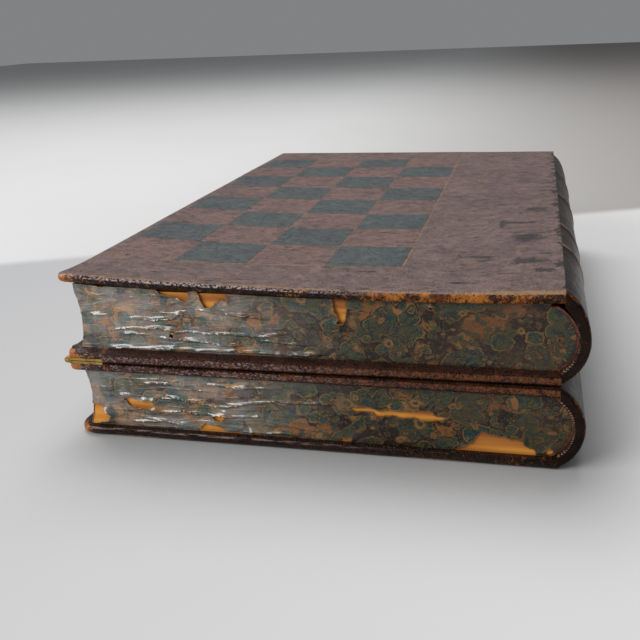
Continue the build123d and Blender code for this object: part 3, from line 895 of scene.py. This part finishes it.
upper_back_tears = [
    [(150.0, 69.5), (168.0, 69.5), (166.5, 62.8), (160.0, 64.0), (154.0, 62.0)],
    [(24.0, 45.5), (31.0, 46.2), (38.0, 44.3), (36.0, 42.4), (27.0, 42.9)],
]
lower_back_tears = [
    [(184.0, 4.0), (189.0, 11.0), (195.0, 12.2), (199.5, 7.0), (198.0, 4.0)],
    [(70.0, 22.0), (83.0, 23.2), (97.0, 21.8), (95.0, 20.2), (80.0, 20.8)],
    [(116.0, 4.0), (121.0, 7.4), (128.0, 6.2), (131.0, 4.0)],
]
upper_front_crests = [
    [(11.3, 55.2), (19.0, 55.2)],
    [(29.6, 54.7), (38.4, 53.6), (47.5, 55.0), (50.6, 57.0), (55.6, 55.7)],
    [(60.2, 59.1), (70.9, 57.8), (84.9, 56.6)],
    [(21.3, 49.5), (41.0, 50.4), (47.5, 48.5), (52.8, 49.7), (59.3, 49.0), (77.3, 49.1), (84.3, 48.7),
     (92.8, 49.5)],
    [(25.7, 47.3), (34.8, 47.4)],
    [(40.6, 46.2), (46.6, 46.3), (62.6, 44.8), (74.1, 44.3)],
    [(86.3, 46.7), (100.9, 46.0)],
    [(20.1, 40.9), (32.4, 41.2), (60.8, 41.5), (78.8, 41.7), (96.5, 41.3), (109.0, 42.2)],
]
lower_front_crests = [
    [(28.3, 25.6), (42.0, 24.9)],
    [(60.0, 26.2), (74.0, 25.2), (88.0, 26.0)],
    [(37.6, 18.8), (45.2, 18.5), (57.8, 16.7), (67.5, 16.2), (78.7, 18.9), (89.6, 20.4), (98.9, 20.3),
     (110.8, 20.7)],
    [(24.7, 15.2), (36.8, 12.1), (48.4, 12.9), (56.6, 11.9)],
    [(23.7, 6.8), (33.1, 7.1), (39.5, 8.3), (48.5, 6.2)],
    [(67.1, 11.9), (81.9, 12.6)],
    [(77.6, 5.4), (95.9, 5.9)],
]
left_ridges = lambda x: 0.28 + 0.72 * held((0.012 - x) / 0.05)
even_ridges = lambda x: 0.5
end_paper("upper", "front", upper_front_tears, upper_front_crests, left_ridges, loose_top=(66, 113.5))
end_paper("lower", "front", lower_front_tears, lower_front_crests, left_ridges)
end_paper("upper", "back", upper_back_tears, [], even_ridges, 0.8 * MM)
end_paper("lower", "back", lower_back_tears, [], even_ridges, 0.8 * MM)

# The fore-edge papers, bent into the hollow.
fore_cells = round(2 * paper_y / (0.9 * MM)), 28
for side, (low_z, high_z) in paper_z.items():
    middle_z = (low_z + high_z) / 2
    name = f"{side}_fore_edge_marbled_paper"
    sheet = standing_sheet(name, fore_cells, 2 * paper_y, (fore_paper_x, 0), low_z, high_z, -90)

    def bent_in(at):
        rippled = swell(at.y / 0.035, 3.0, at.z / 0.004)
        sharp = max(0.0, 1 - 3.0 * abs(rippled)) ** 1.6
        return hollow_at(min(at.z, high_z), middle_z) - fore_paper_x - 0.22 * MM * sharp

    if side == "upper":
        def pulled_up(at):
            share = (at.z - low_z) / (high_z - low_z)
            return share * share * (sprung(Vector((fore_paper_x, at.y, 0))) - 0.75 * MM)

        reshape(sheet, "Z", pulled_up)
    reshape(sheet, "X", bent_in)
    mark_torn(sheet, lambda at: (paper_y - abs(at.y)) / (1.6 * MM))
    work(sheet, "SOLIDIFY", thickness=0.25 * MM, offset=-1.0)
    smooth(sheet, 60)
    dress(sheet, marbled)
    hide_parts(f"{side}_fore_edge_paper")
    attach(sheet, f"{side}_volume")


# ============================================================ 5. Rims
# The board on each tray's open side, in four beech strips under calf. The leather is slit behind the
# hinge leaves, and its outer edges are tooled with slanting strokes.
for side in ("lower", "upper"):
    for strip in ("front", "back", "spine", "fore"):
        dress(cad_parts[f"{side}_rim_{strip}_strip"], board_wood)

rim_finish, shader, place = finish_of("rim leather", Specular_IOR_Level=0.25)
parts = axes(place)
calf = use(old_leather, place=place, hide=srgb(96, 54, 38), deep=srgb(38, 20, 14), bare=srgb(170, 98, 42))
strokes = stroke_lines(place, 230.0)
side_on = facing(shader.id_data)[2]
on_edge = between(calc("ABSOLUTE", side_on), 0.75, 0.4)
tooled = times(strokes, on_edge)
colour = mix(times(tooled, 0.5), calf["colour"], srgb(44, 28, 24))
colour = mix(times(between(on_edge, 0.5, 0.0), 0.6), colour, srgb(52, 33, 27))
sunburnt = between(plus(parts[0], clouds(place, 420.0, 5.0, 0.75)), 0.46, 0.62)
colour = mix(times(times(sunburnt, on_edge), 0.6), colour, srgb(132, 72, 26))
specks = between(clouds(place, 1100.0, 4.0, 0.7), 0.50, 0.58, 0.0, 0.85)
colour = mix(specks, colour, srgb(26, 13, 9))
# Painted highlights: pale glint specks on the rims' edges, on their left part.
glints = between(clouds(stretch(place, (0.55, 1, 1)), 1500.0, 3.0, 0.7), 0.52, 0.61, 0.0, 0.75)
glints = times(glints, times(on_edge, between(parts[0], 0.05, -0.03)))
colour = mix(glints, colour, srgb(160, 136, 132))
from_tip = distance(place, (fore_x, -end_y, split_z))
tip_worn = times_plus(between(from_tip, 9 * MM, 3 * MM), 0.5, clouds(place, 330.0, 4.0, 0.7))
colour = mix(between(tip_worn, 0.70, 0.80), colour, srgb(176, 104, 46))
tray_low, tray_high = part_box("lower_tray_lining")
slit_wide = 0.4 * MM
slit = between(apart(parts[0], tray_low.x + slit_wide / 2), 1.5 * MM, 0.5 * MM)
slit = times(slit, between(clouds(place, 500.0, 3.0), 0.42, 0.58, 0.0, 0.9))
colour = mix(slit, colour, srgb(150, 88, 42))
height = plus(calf["height"], times(tooled, -0.9))
knobbly = times(clouds(place, 640.0, 4.0, 0.6), on_edge)
height = times_plus(knobbly, 7.0, height)
coat(shader, colour, times(calf["rough"], 0.6), height, 0.6, 0.0005)

leaf_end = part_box("front_hinge_lower_leaf")[1].x
leaf_start_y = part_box("front_hinge_lower_leaf")[1].y
bed_depth = 0.8 * MM
slip = 2.6 * MM
for side in ("lower", "upper"):
    low, high = (list(corner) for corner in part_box(f"{side}_rim_leather"))
    mating_z, block_z = (high[2], low[2]) if side == "lower" else (low[2], high[2])
    bed_z = mating_z + (-bed_depth if side == "lower" else bed_depth)
    shell = board_shape(f"{side}_rim_skin", low, high, 3.4 * MM, 1.5 * MM)
    cut_at(2, [bed_z])
    cut_at(0, [wall_x, tray_low.x, tray_low.x + slit_wide, tray_high.x, leaf_end])
    cut_at(0, spaced(leaf_end, tray_high.x, 9 * MM) + [leaf_end - 4 * MM, leaf_end - 8 * MM])
    cut_at(1, [tray_low.y, tray_high.y, leaf_start_y, -leaf_start_y, wall_y, -wall_y])
    cut_at(1, spaced(-end_y, end_y, 9 * MM))

    def not_leather(at, n):
        over_tray = tray_low.x < at.x < tray_high.x and abs(at.y) < tray_high.y
        under_block = abs(at.z - block_z) < 1e-5 and at.x > wall_x and abs(at.y) < wall_y
        in_slit = tray_low.x < at.x < tray_low.x + slit_wide
        beyond = at.z > bed_z if side == "lower" else at.z < bed_z
        in_bed = at.x < leaf_end and abs(at.y) > -leaf_start_y and beyond
        return over_tray or under_block or in_slit or in_bed

    choose(shell, "FACE", not_leather)
    bpy.ops.mesh.delete(type="FACE")
    leave_all()

    def slipped(at):
        """The upper rim's leather has slipped forward of the lower one's, most near the hinge."""
        near_front = held((-at.y - wall_y - 0.2 * MM) / (0.9 * MM))
        along = held((at.x - fore_x) / (joint_x - fore_x))
        beyond_leaf = held((at.x - leaf_end - 0.2 * MM) / (1.2 * MM))
        return -slip * near_front * beyond_leaf * (1 - 0.8 * along**1.5)

    def ramped(at):
        """The turned-in leather climbs a little way up the front of the block."""
        at_front_wall = at.y < 0 and abs(at.y + wall_y) < 0.2 * MM
        return 0.9 * MM if at_front_wall and at.z > block_z - 0.1 * MM else 0.0

    if side == "upper":
        reshape(shell, "Y", slipped)
        reshape(shell, "Z", ramped)
    work(shell, "SOLIDIFY", thickness=leather_wall, offset=-1.0, use_even_offset=False)
    smooth(shell, 50)
    dress(shell, rim_finish)
    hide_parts(f"{side}_rim_leather")
    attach(shell, f"{side}_volume")

# ============================================================ 6. Rounded spines
# A tube of brown paper lies on the block's rounded back. Over it a thick shell of pasteboard joins the
# two boards, and smooth dark calf covers it and is turned in over its ends, with four low bands.
tube_paper, shader, place = finish_of("tube paper", rough=0.7)
worn_paper = clouds(stretch(place, (1, 0.2, 1)), 400.0, 3.0)
coat(shader, mix(between(worn_paper, 0.35, 0.65), srgb(84, 44, 34), srgb(124, 68, 46)),
     height=worn_paper, relief=0.3, depth=0.0003)
pasteboard, shader, place = finish_of("pasteboard", rough=0.8)
pressed = clouds(stretch(place, (1, 0.3, 1)), 600.0, 3.0)
coat(shader, mix(pressed, srgb(150, 118, 80), srgb(112, 84, 56)), height=pressed)
for side in ("lower", "upper"):
    dress(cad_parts[f"{side}_spine_tube"], tube_paper)

spine_finish, shader, place = finish_of("spine leather", Specular_IOR_Level=0.08)
parts = axes(place)
calf = use(old_leather, place=place, hide=srgb(42, 25, 18), deep=srgb(15, 9, 7), bare=srgb(170, 100, 46),
           rubbed=0.0, pebble=900.0, stained=0.6)
scuffs = clouds(stretch(place, (1, 0.25, 1)), 260.0, 4.0, 0.65)
colour = mix(between(scuffs, 0.62, 0.76, 0.0, 0.45), calf["colour"], srgb(120, 74, 42))
side_y = calc("ABSOLUTE", parts[1])
worn_lip = between(apart(side_y, end_y - 0.7 * MM), 1.3 * MM, 0.2 * MM)
worn_lip = plus(worn_lip, clouds(place, 330.0, 4.0, 0.7))
colour = mix(between(worn_lip, 1.46, 1.66, 0.0, 0.8), colour, srgb(150, 84, 36))
bands = [187 * MM, 110 * MM, 70 * MM, 262 * MM]            # from the front end
from_band = 1.0
for band_y in bands:
    from_band = calc("MINIMUM", from_band, apart(parts[1], band_y - end_y))
rubbed = plus(between(from_band, 3.2 * MM, 0.9 * MM), clouds(place, 240.0, 4.0, 0.7))
colour = mix(between(rubbed, 1.38, 1.58, 0.0, 0.85), colour, srgb(168, 116, 64))
# Painted highlights: pale glint specks along the inner rim of the shell's ends, spaced like headband threads.
beside = minus(parts[0], spine_axis_x)
above = minus(apart(parts[2], split_z), 17.5 * MM)
from_axis = calc("POWER", plus(times(beside, beside), times(above, above)), 0.5)
lip_glints = times(between(from_axis, 15.25 * MM, 14.95 * MM), calc("GREATER_THAN", side_y, end_y - 2 * MM))
turns = calc("SINE", times(parts[2], 6400.0))
turns = times_plus(clouds(place, 260.0, 4.0, 0.7), 7.0, turns)
lip_glints = times(lip_glints, between(turns, 3.3, 4.6, 0.0, 0.7))
colour = mix(lip_glints, colour, srgb(160, 138, 120))
coat(shader, colour, times(calf["rough"], 0.7), plus(calf["height"], scuffs), 0.5, 0.0005)

spine_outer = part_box("upper_spine_leather")[1].x - spine_axis_x
band_wide = 2.4 * MM
band_rise = 0.6 * MM
spine_bend = 170             # degrees round the spine that a layer is bent, before it is trimmed


def spine_part(name, outer, inner, ends, middle_z):
    """A layer of the spine, bent round from a flat strip and trimmed off at the joint."""
    leave_all()
    axis = Vector((spine_axis_x, 0, middle_z))
    bpy.ops.mesh.primitive_plane_add(size=1, location=axis + Vector(((outer + inner) / 2, 0, 0)))
    layer = named(name)
    layer.scale = (outer - inner, 2 * ends, 1)
    bpy.ops.object.transform_apply()
    lowest = Matrix.Rotation(math.radians(spine_bend / 2), 4, "Y")
    layer.data.transform(Matrix.Translation(axis) @ lowest @ Matrix.Translation(-axis))
    open_up(layer)
    bpy.ops.mesh.select_all(action="SELECT")
    bpy.ops.mesh.delete(type="ONLY_FACE")
    bpy.ops.mesh.select_all(action="SELECT")
    bpy.ops.mesh.spin(steps=102, angle=math.radians(spine_bend), center=axis, axis=(0, 1, 0))
    bpy.ops.mesh.select_all(action="SELECT")
    bpy.ops.mesh.bisect(plane_co=(joint_x, 0, 0), plane_no=(1, 0, 0), clear_inner=True, use_fill=True)
    bpy.ops.mesh.select_all(action="SELECT")
    bpy.ops.mesh.normals_make_consistent(inside=False)
    return layer


for side in ("lower", "upper"):
    low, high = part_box(f"{side}_spine_leather")
    middle_z = (low.z + high.z) / 2
    half = (high.z - low.z) / 2

    def stretched(at):
        share = held((at.z - middle_z) / half)
        return (1 - 0.11 * max(0.0, at.y / end_y)) * cup_rise * share * share * (3 - 2 * share)

    skin = spine_part(f"{side}_spine_skin", spine_outer - 0.4 * MM, shell_inner, high.y, middle_z)
    choose(skin, "EDGE", lambda at, way: abs(way.y) < 0.1 and abs(abs(at.y) - high.y) < 1e-5
           and math.hypot(at.x - spine_axis_x, at.z - middle_z) > spine_outer - 0.6 * MM)
    bpy.ops.mesh.bevel(offset=1.5 * MM, segments=4)
    cut_at(1, spaced(-high.y + 2 * MM, high.y - 2 * MM, 2.6 * MM))
    leave_all()

    def raised(at):
        """How far the skin stands out at a band, or is thinned at the upper spine's back end."""
        out = (math.hypot(at.x - spine_axis_x, at.z - middle_z) - spine_outer + 2.2 * MM) / (1.6 * MM)
        out = held(out)
        from_front = at.y + end_y
        band = max(math.exp(-(((from_front - band_y) / band_wide) ** 2)) for band_y in bands)
        thinned = 0.0
        if side == "upper":
            thinned = 1.3 * MM * (max(from_front, 0.0) / (2 * end_y)) ** 1.5
            thinned += 0.3 * MM * max(0.0, (at.y - high.y + 14 * MM) / (14 * MM))
        if abs(at.y) > high.y - 3 * MM:
            return -thinned * out
        if out < 0.6:
            return 0.0
        return band_rise * band - thinned + 0.16 * MM * (swell(0, at.y / 0.02, at.z / 0.012) - 0.6)

    outward = []
    for point in skin.data.vertices:
        turned = math.atan2(point.co.z - middle_z, point.co.x - spine_axis_x)
        at_joint = point.co.x < joint_x + 0.1 * MM
        lift = raised(point.co)
        outward.append((lift * (0.0 if at_joint else math.cos(turned)), lift * math.sin(turned)))
    for direction, offsets in zip("XZ", zip(*outward)):
        shares = iter(offsets)
        reshape(skin, direction, lambda at: next(shares))
    board = spine_part(f"{side}_spine_pasteboard", spine_outer - 2.3 * MM, shell_inner + 0.05 * MM,
                       high.y - 0.7 * MM, middle_z)
    leave_all()
    if side == "upper":
        reshape(skin, "Z", stretched)
        reshape(board, "Z", stretched)
    smooth(board)
    dress(board, pasteboard)
    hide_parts(f"{side}_spine_board")
    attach(board, f"{side}_volume")
    smooth(skin, 45)
    dress(skin, spine_finish)
    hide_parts(f"{side}_spine_leather")
    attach(skin, f"{side}_volume")

# ============================================================ 7. Hinges
# Two brass butt hinges let into the fore strips of the rims, each leaf held by three iron screws. The
# brass is brown with age, and bright where it is handled.
brass_finish, has, gives = effect(
    "old brass",
    {"place": ("place", (0, 0, 0)), "bright": ("colour", (1, 1, 1, 1)), "brown": ("colour", (0, 0, 0, 1))},
    {"colour": "colour", "rough": "value", "height": "value"},
)
spread = clouds(has["place"], 130.0, 4.0, 0.65)
drawn = clouds(stretch(has["place"], (1, 0.06, 1)), 3000.0, 2.0)
tarnish = between(spread, 0.42, 0.62)
give(gives, colour=mix(tarnish, has["bright"], has["brown"]), rough=between(spread, 0.3, 0.7, 0.28, 0.55),
     height=drawn)


def brass(name, bright, brown):
    material, shader, place = finish_of(name, Metallic=1.0)
    metal = use(brass_finish, place=place, bright=bright, brown=brown)
    coat(shader, metal["colour"], metal["rough"], metal["height"], 0.2, 0.0002)
    return material


leaf_brass = brass("hinge brass", srgb(188, 156, 88), srgb(122, 86, 44))
pin_brass = brass("pin brass", srgb(214, 176, 100), srgb(120, 86, 48))
screw_iron = brass("screw iron", srgb(126, 118, 108), srgb(70, 52, 42))
screw_radius, screw_deep = 2.1 * MM, 0.3 * MM
screw_stands = 0.07 * MM
screw_pitch = 12.5 * MM
screw_lines = (8.6 * MM, 10.2 * MM, 8.6 * MM)           # from the fore-edge
half_gap = 0.15 * MM                                    # between the leaves
slot_size = (5 * MM, 0.55 * MM, 0.24 * MM)
for end in ("front", "back"):
    dress(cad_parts[f"{end}_hinge_pin"], pin_brass)
    for leaf, sign in (("lower", 1), ("upper", -1)):
        dress(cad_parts[f"{end}_hinge_{leaf}_leaf"], leaf_brass)
        leaf_low, leaf_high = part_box(f"{end}_hinge_{leaf}_leaf")
        face_z = split_z - sign * half_gap
        head_z = face_z + sign * screw_stands
        for number in range(3):
            y = (leaf_low.y + leaf_high.y) / 2 + (number - 1) * screw_pitch
            x = fore_x + screw_lines[number]
            leave_all()
            bpy.ops.mesh.primitive_cylinder_add(vertices=36, radius=screw_radius, depth=screw_deep,
                                                location=(x, y, head_z - sign * screw_deep / 2))
            screw = named(f"{end}_{leaf}_hinge_screw_{number + 1}")
            bpy.ops.object.transform_apply()
            open_up(screw)
            choose(screw, "EDGE", lambda at, way: abs(at.z - head_z) < 1e-6)
            bpy.ops.mesh.bevel(offset=0.06 * MM, segments=2)
            leave_all()
            turn = math.radians(25 + 50 * number + (15 if end == "back" else 0))
            bpy.ops.mesh.primitive_cube_add(size=1, location=(x, y, head_z), scale=slot_size,
                                            rotation=(0, 0, turn))
            saw = bpy.context.object
            work(screw, "BOOLEAN", object=saw, operation="DIFFERENCE", solver="EXACT")
            bpy.data.objects.remove(saw)
            smooth(screw)
            dress(screw, screw_iron)
            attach(screw, f"{leaf}_volume")

# ============================================================ 8. Tray linings and points
# Red-brown calf glued on each tray's floor, and twelve long points of green and of cream calf glued
# on it, dulled and scuffed by years of men sliding over them.


def plain_leather(name, hide, deep, bare, pebble=1300.0, relief=0.45, polish=0.08, polish_rough=0.4):
    material, shader, place = finish_of(name, Coat_Weight=polish, Coat_Roughness=polish_rough)
    calf = use(old_leather, place=place, hide=hide, deep=deep, bare=bare, rubbed=0.3, pebble=pebble)
    coat(shader, calf["colour"], calf["rough"], calf["height"], relief, 0.0005)
    return material


lining_leather = plain_leather("lining leather", srgb(126, 58, 44), srgb(84, 36, 30), bare_hide)
dark_point = plain_leather("dark point leather", srgb(46, 66, 56), srgb(26, 38, 34), srgb(110, 92, 66))
light_point = plain_leather("light point leather", srgb(206, 178, 128), srgb(160, 124, 78),
                            srgb(196, 150, 100))
for side in ("lower", "upper"):
    dress(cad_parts[f"{side}_tray_lining"], lining_leather)
    dress(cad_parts[f"{side}_dark_points"], dark_point)
    dress(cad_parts[f"{side}_light_points"], light_point)

# ============================================================ 9. Men
# Thirty draughtsmen, turned from boxwood and from blackened wood: a hollowed face with a raised ring
# on both sides, and a rounded rim.


def turned_wood(name, pale, dark, polish):
    material, shader, place = finish_of(name, Coat_Weight=polish, Coat_Roughness=0.3)
    grain = use(wood_grain, place=place, pale=pale, dark=dark, pitch=260.0)
    coat(shader, grain["colour"], grain["rough"], grain["height"], 0.2, 0.0002)
    return material


boxwood = turned_wood("boxwood", srgb(222, 184, 116), srgb(176, 126, 66), 0.3)
ebonised = turned_wood("blackened wood", srgb(52, 40, 36), srgb(24, 18, 17), 0.35)

man_radius, man_thick = 13.0 * MM, 7.4 * MM
stack_pitch = 7.5 * MM
stack_inset = 15.0 * MM                # from the tray's end to the stacks' middles
# From the rim inwards: how wide each step of the face is, and how far it rises, both in millimetres.
face_steps = ((2.2, 0.0), (0.7, -0.7), (2.6, 0.0), (0.5, 0.45), (1.3, 0.0), (0.5, -0.45), (2.2, 0.25))
leave_all()
bpy.ops.mesh.primitive_cylinder_add(vertices=56, radius=man_radius, depth=man_thick,
                                    location=(0, 0, man_thick / 2))
man = bpy.context.object
bpy.ops.object.transform_apply()
open_up(man)
for face_z, up in ((man_thick, 1), (0.0, -1)):
    choose(man, "FACE", lambda at, n: abs(at.z - face_z) < 1e-6 and abs(n.z) > 0.9)
    for step, rise in face_steps:
        bpy.ops.mesh.inset(thickness=step * MM, depth=0)
        bpy.ops.transform.translate(value=(0, 0, up * rise * MM))
    bpy.ops.mesh.poke()
choose(man, "EDGE", lambda at, way: abs(way.z) < 0.1 and math.hypot(at.x, at.y) > man_radius - 0.2 * MM)
bpy.ops.mesh.bevel(offset=1.4 * MM, segments=4)
leave_all()
smooth(man, 35)

lane = (tray_high.x - tray_low.x) / 6
men_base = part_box("light_men")[0].z
for name, parity, finish in (("light", 0, boxwood), ("dark", 1, ebonised)):
    for stack in range(5):
        end = -1 if stack % 2 == parity else 1
        for level in range(3):
            copy = man.copy()
            copy.data = man.data.copy()
            bpy.context.collection.objects.link(copy)
            copy.name = copy.data.name = f"{name}_man_{3 * stack + level + 1}"
            turn = Matrix.Rotation(0.9 * stack + 1.7 * level, 4, "Z")
            place = Vector((tray_low.x + (stack + 0.5) * lane, end * (tray_high.y - stack_inset),
                            men_base + level * stack_pitch))
            copy.data.transform(Matrix.Translation(place) @ turn)
            dress(copy, finish)
            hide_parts(f"{name}_men")
            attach(copy, "lower_volume")
bpy.data.objects.remove(man)

# ============================================================ 10. Dice cups and dice
# Two cups of stiff leather sewn up the side, with a rolled rim at the mouth and foot, and two bone
# dice with blackened pips.
cup_leather = plain_leather("cup leather", srgb(96, 56, 36), srgb(54, 30, 22), srgb(170, 108, 58),
                            pebble=1100.0, relief=0.5, polish=0.2, polish_rough=0.3)
swollen = 0.9 * MM                     # how far the rolled rims stand out from the cup
cup_wall = 1.8 * MM
cup_base = 3.0 * MM
mouth_lip = 0.6 * MM
rolls = (2.4 * MM, 59.4 * MM)          # from the mouth: the rolled rims' middles, and their sides
roll_sides = (0.8 * MM, 4.0 * MM, 57.8 * MM, 61.0 * MM)
for end, way in (("front", -1), ("back", 1)):
    low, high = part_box(f"{end}_dice_cup")
    middle = (low + high) / 2
    radius, length = (high.z - low.z) / 2, high.y - low.y
    mouth_y, foot_y = (high.y, low.y) if way > 0 else (low.y, high.y)

    def at_rings(steps):
        return lambda at: min(abs(at.y - mouth_y + way * step) for step in steps) < 1e-4

    leave_all()
    bpy.ops.mesh.primitive_cylinder_add(vertices=64, radius=radius - swollen, depth=length, location=middle,
                                        rotation=(math.radians(-90 * way), 0, 0))
    cup = named(f"{end}_leather_cup")
    bpy.ops.object.transform_apply()
    open_up(cup)
    cut_at(1, [mouth_y - way * step for step in sorted(rolls + roll_sides)] + [middle.y])
    choose(cup, "VERT", at_rings(rolls))
    bpy.ops.transform.resize(value=(radius / (radius - swollen), 1, radius / (radius - swollen)),
                             center_override=middle)
    choose(cup, "VERT", at_rings(roll_sides))
    bpy.ops.transform.resize(value=(1.045, 1, 1.045), center_override=middle)
    choose(cup, "FACE", lambda at, n: n.y * way > 0.9)
    bpy.ops.mesh.inset(thickness=cup_wall, depth=0)
    bpy.ops.mesh.extrude_region_move(TRANSFORM_OT_translate={"value": (0, -way * mouth_lip, 0)})
    bpy.ops.transform.resize(value=(0.97, 1, 0.97), center_override=middle)
    bore = length - mouth_lip - cup_base
    bpy.ops.mesh.extrude_region_move(TRANSFORM_OT_translate={"value": (0, -way * bore, 0)})
    choose(cup, "FACE", lambda at, n: n.y * way < -0.9 and abs(at.y - foot_y) < 1e-4)
    bpy.ops.mesh.inset(thickness=2.2 * MM, depth=0)
    bpy.ops.transform.translate(value=(0, way * 0.5 * MM, 0))
    leave_all()
    smooth(cup, 50)
    dress(cup, cup_leather)
    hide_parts(f"{end}_dice_cup")
    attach(cup, "lower_volume")

bone, shader, place = finish_of("bone", Coat_Weight=0.3, Coat_Roughness=0.25)
pores = clouds(stretch(place, (1, 1, 0.2)), 2200.0, 3.0)
yellowed = clouds(place, 190.0, 3.0)
tone = mix(between(yellowed, 0.35, 0.65), srgb(232, 222, 196), srgb(212, 190, 146))
coat(shader, mix(between(pores, 0.6, 0.72, 0.0, 0.5), tone, srgb(150, 116, 78)),
     between(yellowed, 0.3, 0.7, 0.3, 0.45), pores, 0.2, 0.0002)
pip_black, shader, place = finish_of("pip black", rough=0.5)
coat(shader, mix(clouds(place, 1500.0), srgb(24, 20, 18), srgb(52, 42, 36)))

# Pips by face: where they lie on it, in steps from its middle.
pip_rows = {
    1: [(0, 0)],
    2: [(-1, -1), (1, 1)],
    3: [(-1, -1), (0, 0), (1, 1)],
    4: [(-1, -1), (-1, 1), (1, -1), (1, 1)],
    5: [(-1, -1), (-1, 1), (0, 0), (1, -1), (1, 1)],
    6: [(-1, -1), (-1, 0), (-1, 1), (1, -1), (1, 0), (1, 1)],
}
pip_faces = {1: (0, 0, 1), 6: (0, 0, -1), 2: (1, 0, 0), 5: (-1, 0, 0), 3: (0, 1, 0), 4: (0, -1, 0)}
pip_radius, pip_step, pip_flat = 0.85 * MM, 2.8 * MM, 0.12
die_round = 1.3 * MM
dice_low, dice_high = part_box("dice")
die_half = (dice_high.z - dice_low.z) / 2
die_x, die_z = (dice_low.x + dice_high.x) / 2, (dice_low.z + dice_high.z) / 2
for number, (die_y, turn) in enumerate(((-12.5 * MM, 24.0), (12.5 * MM, -37.0)), 1):
    stand = Matrix.Translation((die_x, die_y, die_z)) @ Matrix.Rotation(math.radians(turn), 4, "Z")
    cube = block(f"die_{number}", [-die_half] * 3, [die_half] * 3)
    open_up(cube)
    bpy.ops.mesh.select_all(action="SELECT")
    bpy.ops.mesh.bevel(offset=die_round, segments=4)
    leave_all()
    pips = []
    for count, normal in pip_faces.items():
        lay = Vector(normal).to_track_quat("Z", "Y").to_matrix().to_4x4()
        for u, v in pip_rows[count]:
            leave_all()
            bpy.ops.mesh.primitive_uv_sphere_add(segments=14, ring_count=8, radius=pip_radius)
            pip = bpy.context.object
            seat = Matrix.Translation((pip_step * u, pip_step * v, die_half))
            pip.data.transform(lay @ seat @ Matrix.Diagonal((1, 1, pip_flat, 1)))
            pips.append(pip)
    dots = joined_up(pips, f"die_{number}_pips")
    for piece, finish in ((cube, bone), (dots, pip_black)):
        piece.data.transform(stand)
        smooth(piece)
        dress(piece, finish)
        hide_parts("dice")
        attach(piece, "lower_volume")

# ============================================================ 11. Table, light and camera
# The box stands on a pale table in soft daylight from a window on the left. The table's far part is a
# second tone, as a pale wall behind it would be.
leave_all()
bpy.ops.mesh.primitive_plane_add(size=6, location=(0, 1.5, -0.0002))
table_top = bpy.context.object
table_top.name = "table_top"
bpy.ops.object.transform_apply()
pale, shader, place = finish_of("pale table", rough=1.0, Specular_IOR_Level=0.0)
parts = axes(place)
# Where the table's near tone ends runs aslant: how far it goes back per metre across, and from where.
line = times_plus(parts[0], 0.46, 0.235)
beyond = between(minus(parts[1], line), -0.012, 0.012)
# Painted shade: both tones of the table grow darker towards the right, away from the window.
shade_to_right = between(parts[0], -0.35, 0.35)
near = mix(shade_to_right, srgb(166, 166, 167), srgb(212, 211, 210))
far = mix(shade_to_right, srgb(196, 196, 195), srgb(152, 148, 145))
tone = mix(beyond, near, far)
tone = mix(between(clouds(place, 3.0, 3.0), 0.3, 0.7, 0.0, 0.05), tone, srgb(150, 150, 152))
coat(shader, tone)
dress(table_top, pale)

# Each lamp: where it hangs, how wide and high it is in metres, and its watts.
lamps = (
    ("window", (-0.85, -0.95, 0.68), 1.0, 0.4, 13.0),
    ("ceiling", (-0.45, 0.7, 1.8), 1.6, 1.6, 42.0),
)
for name, place, wide, high, power in lamps:
    leave_all()
    bpy.ops.object.light_add(type="AREA", location=place)
    lamp = bpy.context.object
    lamp.name = name
    lamp.rotation_euler = (Vector((0, 0, 0.03)) - Vector(place)).to_track_quat("-Z", "Y").to_euler()
    lamp.data.shape = "RECTANGLE"
    lamp.data.size, lamp.data.size_y = wide, high
    lamp.data.energy = power
world = bpy.data.worlds.new("daylight")
world.use_nodes = True
background = world.node_tree.nodes["Background"].inputs
background["Color"].default_value = (0.88, 0.9, 0.93, 1)
background["Strength"].default_value = 0.25
bpy.context.scene.world = world
bpy.context.scene.view_settings.view_transform = "Standard"

leave_all()
camera_place = (0.0847991, -0.4764192, 0.1674101)
camera_turn = [math.radians(turn) for turn in (70.830969, 2.363812, 13.621082)]
camera_lens = 48.2085
bpy.ops.object.camera_add(location=camera_place, rotation=camera_turn)
camera = bpy.context.object
camera.data.lens = camera_lens
camera.data.clip_start = 0.01
bpy.context.scene.camera = camera
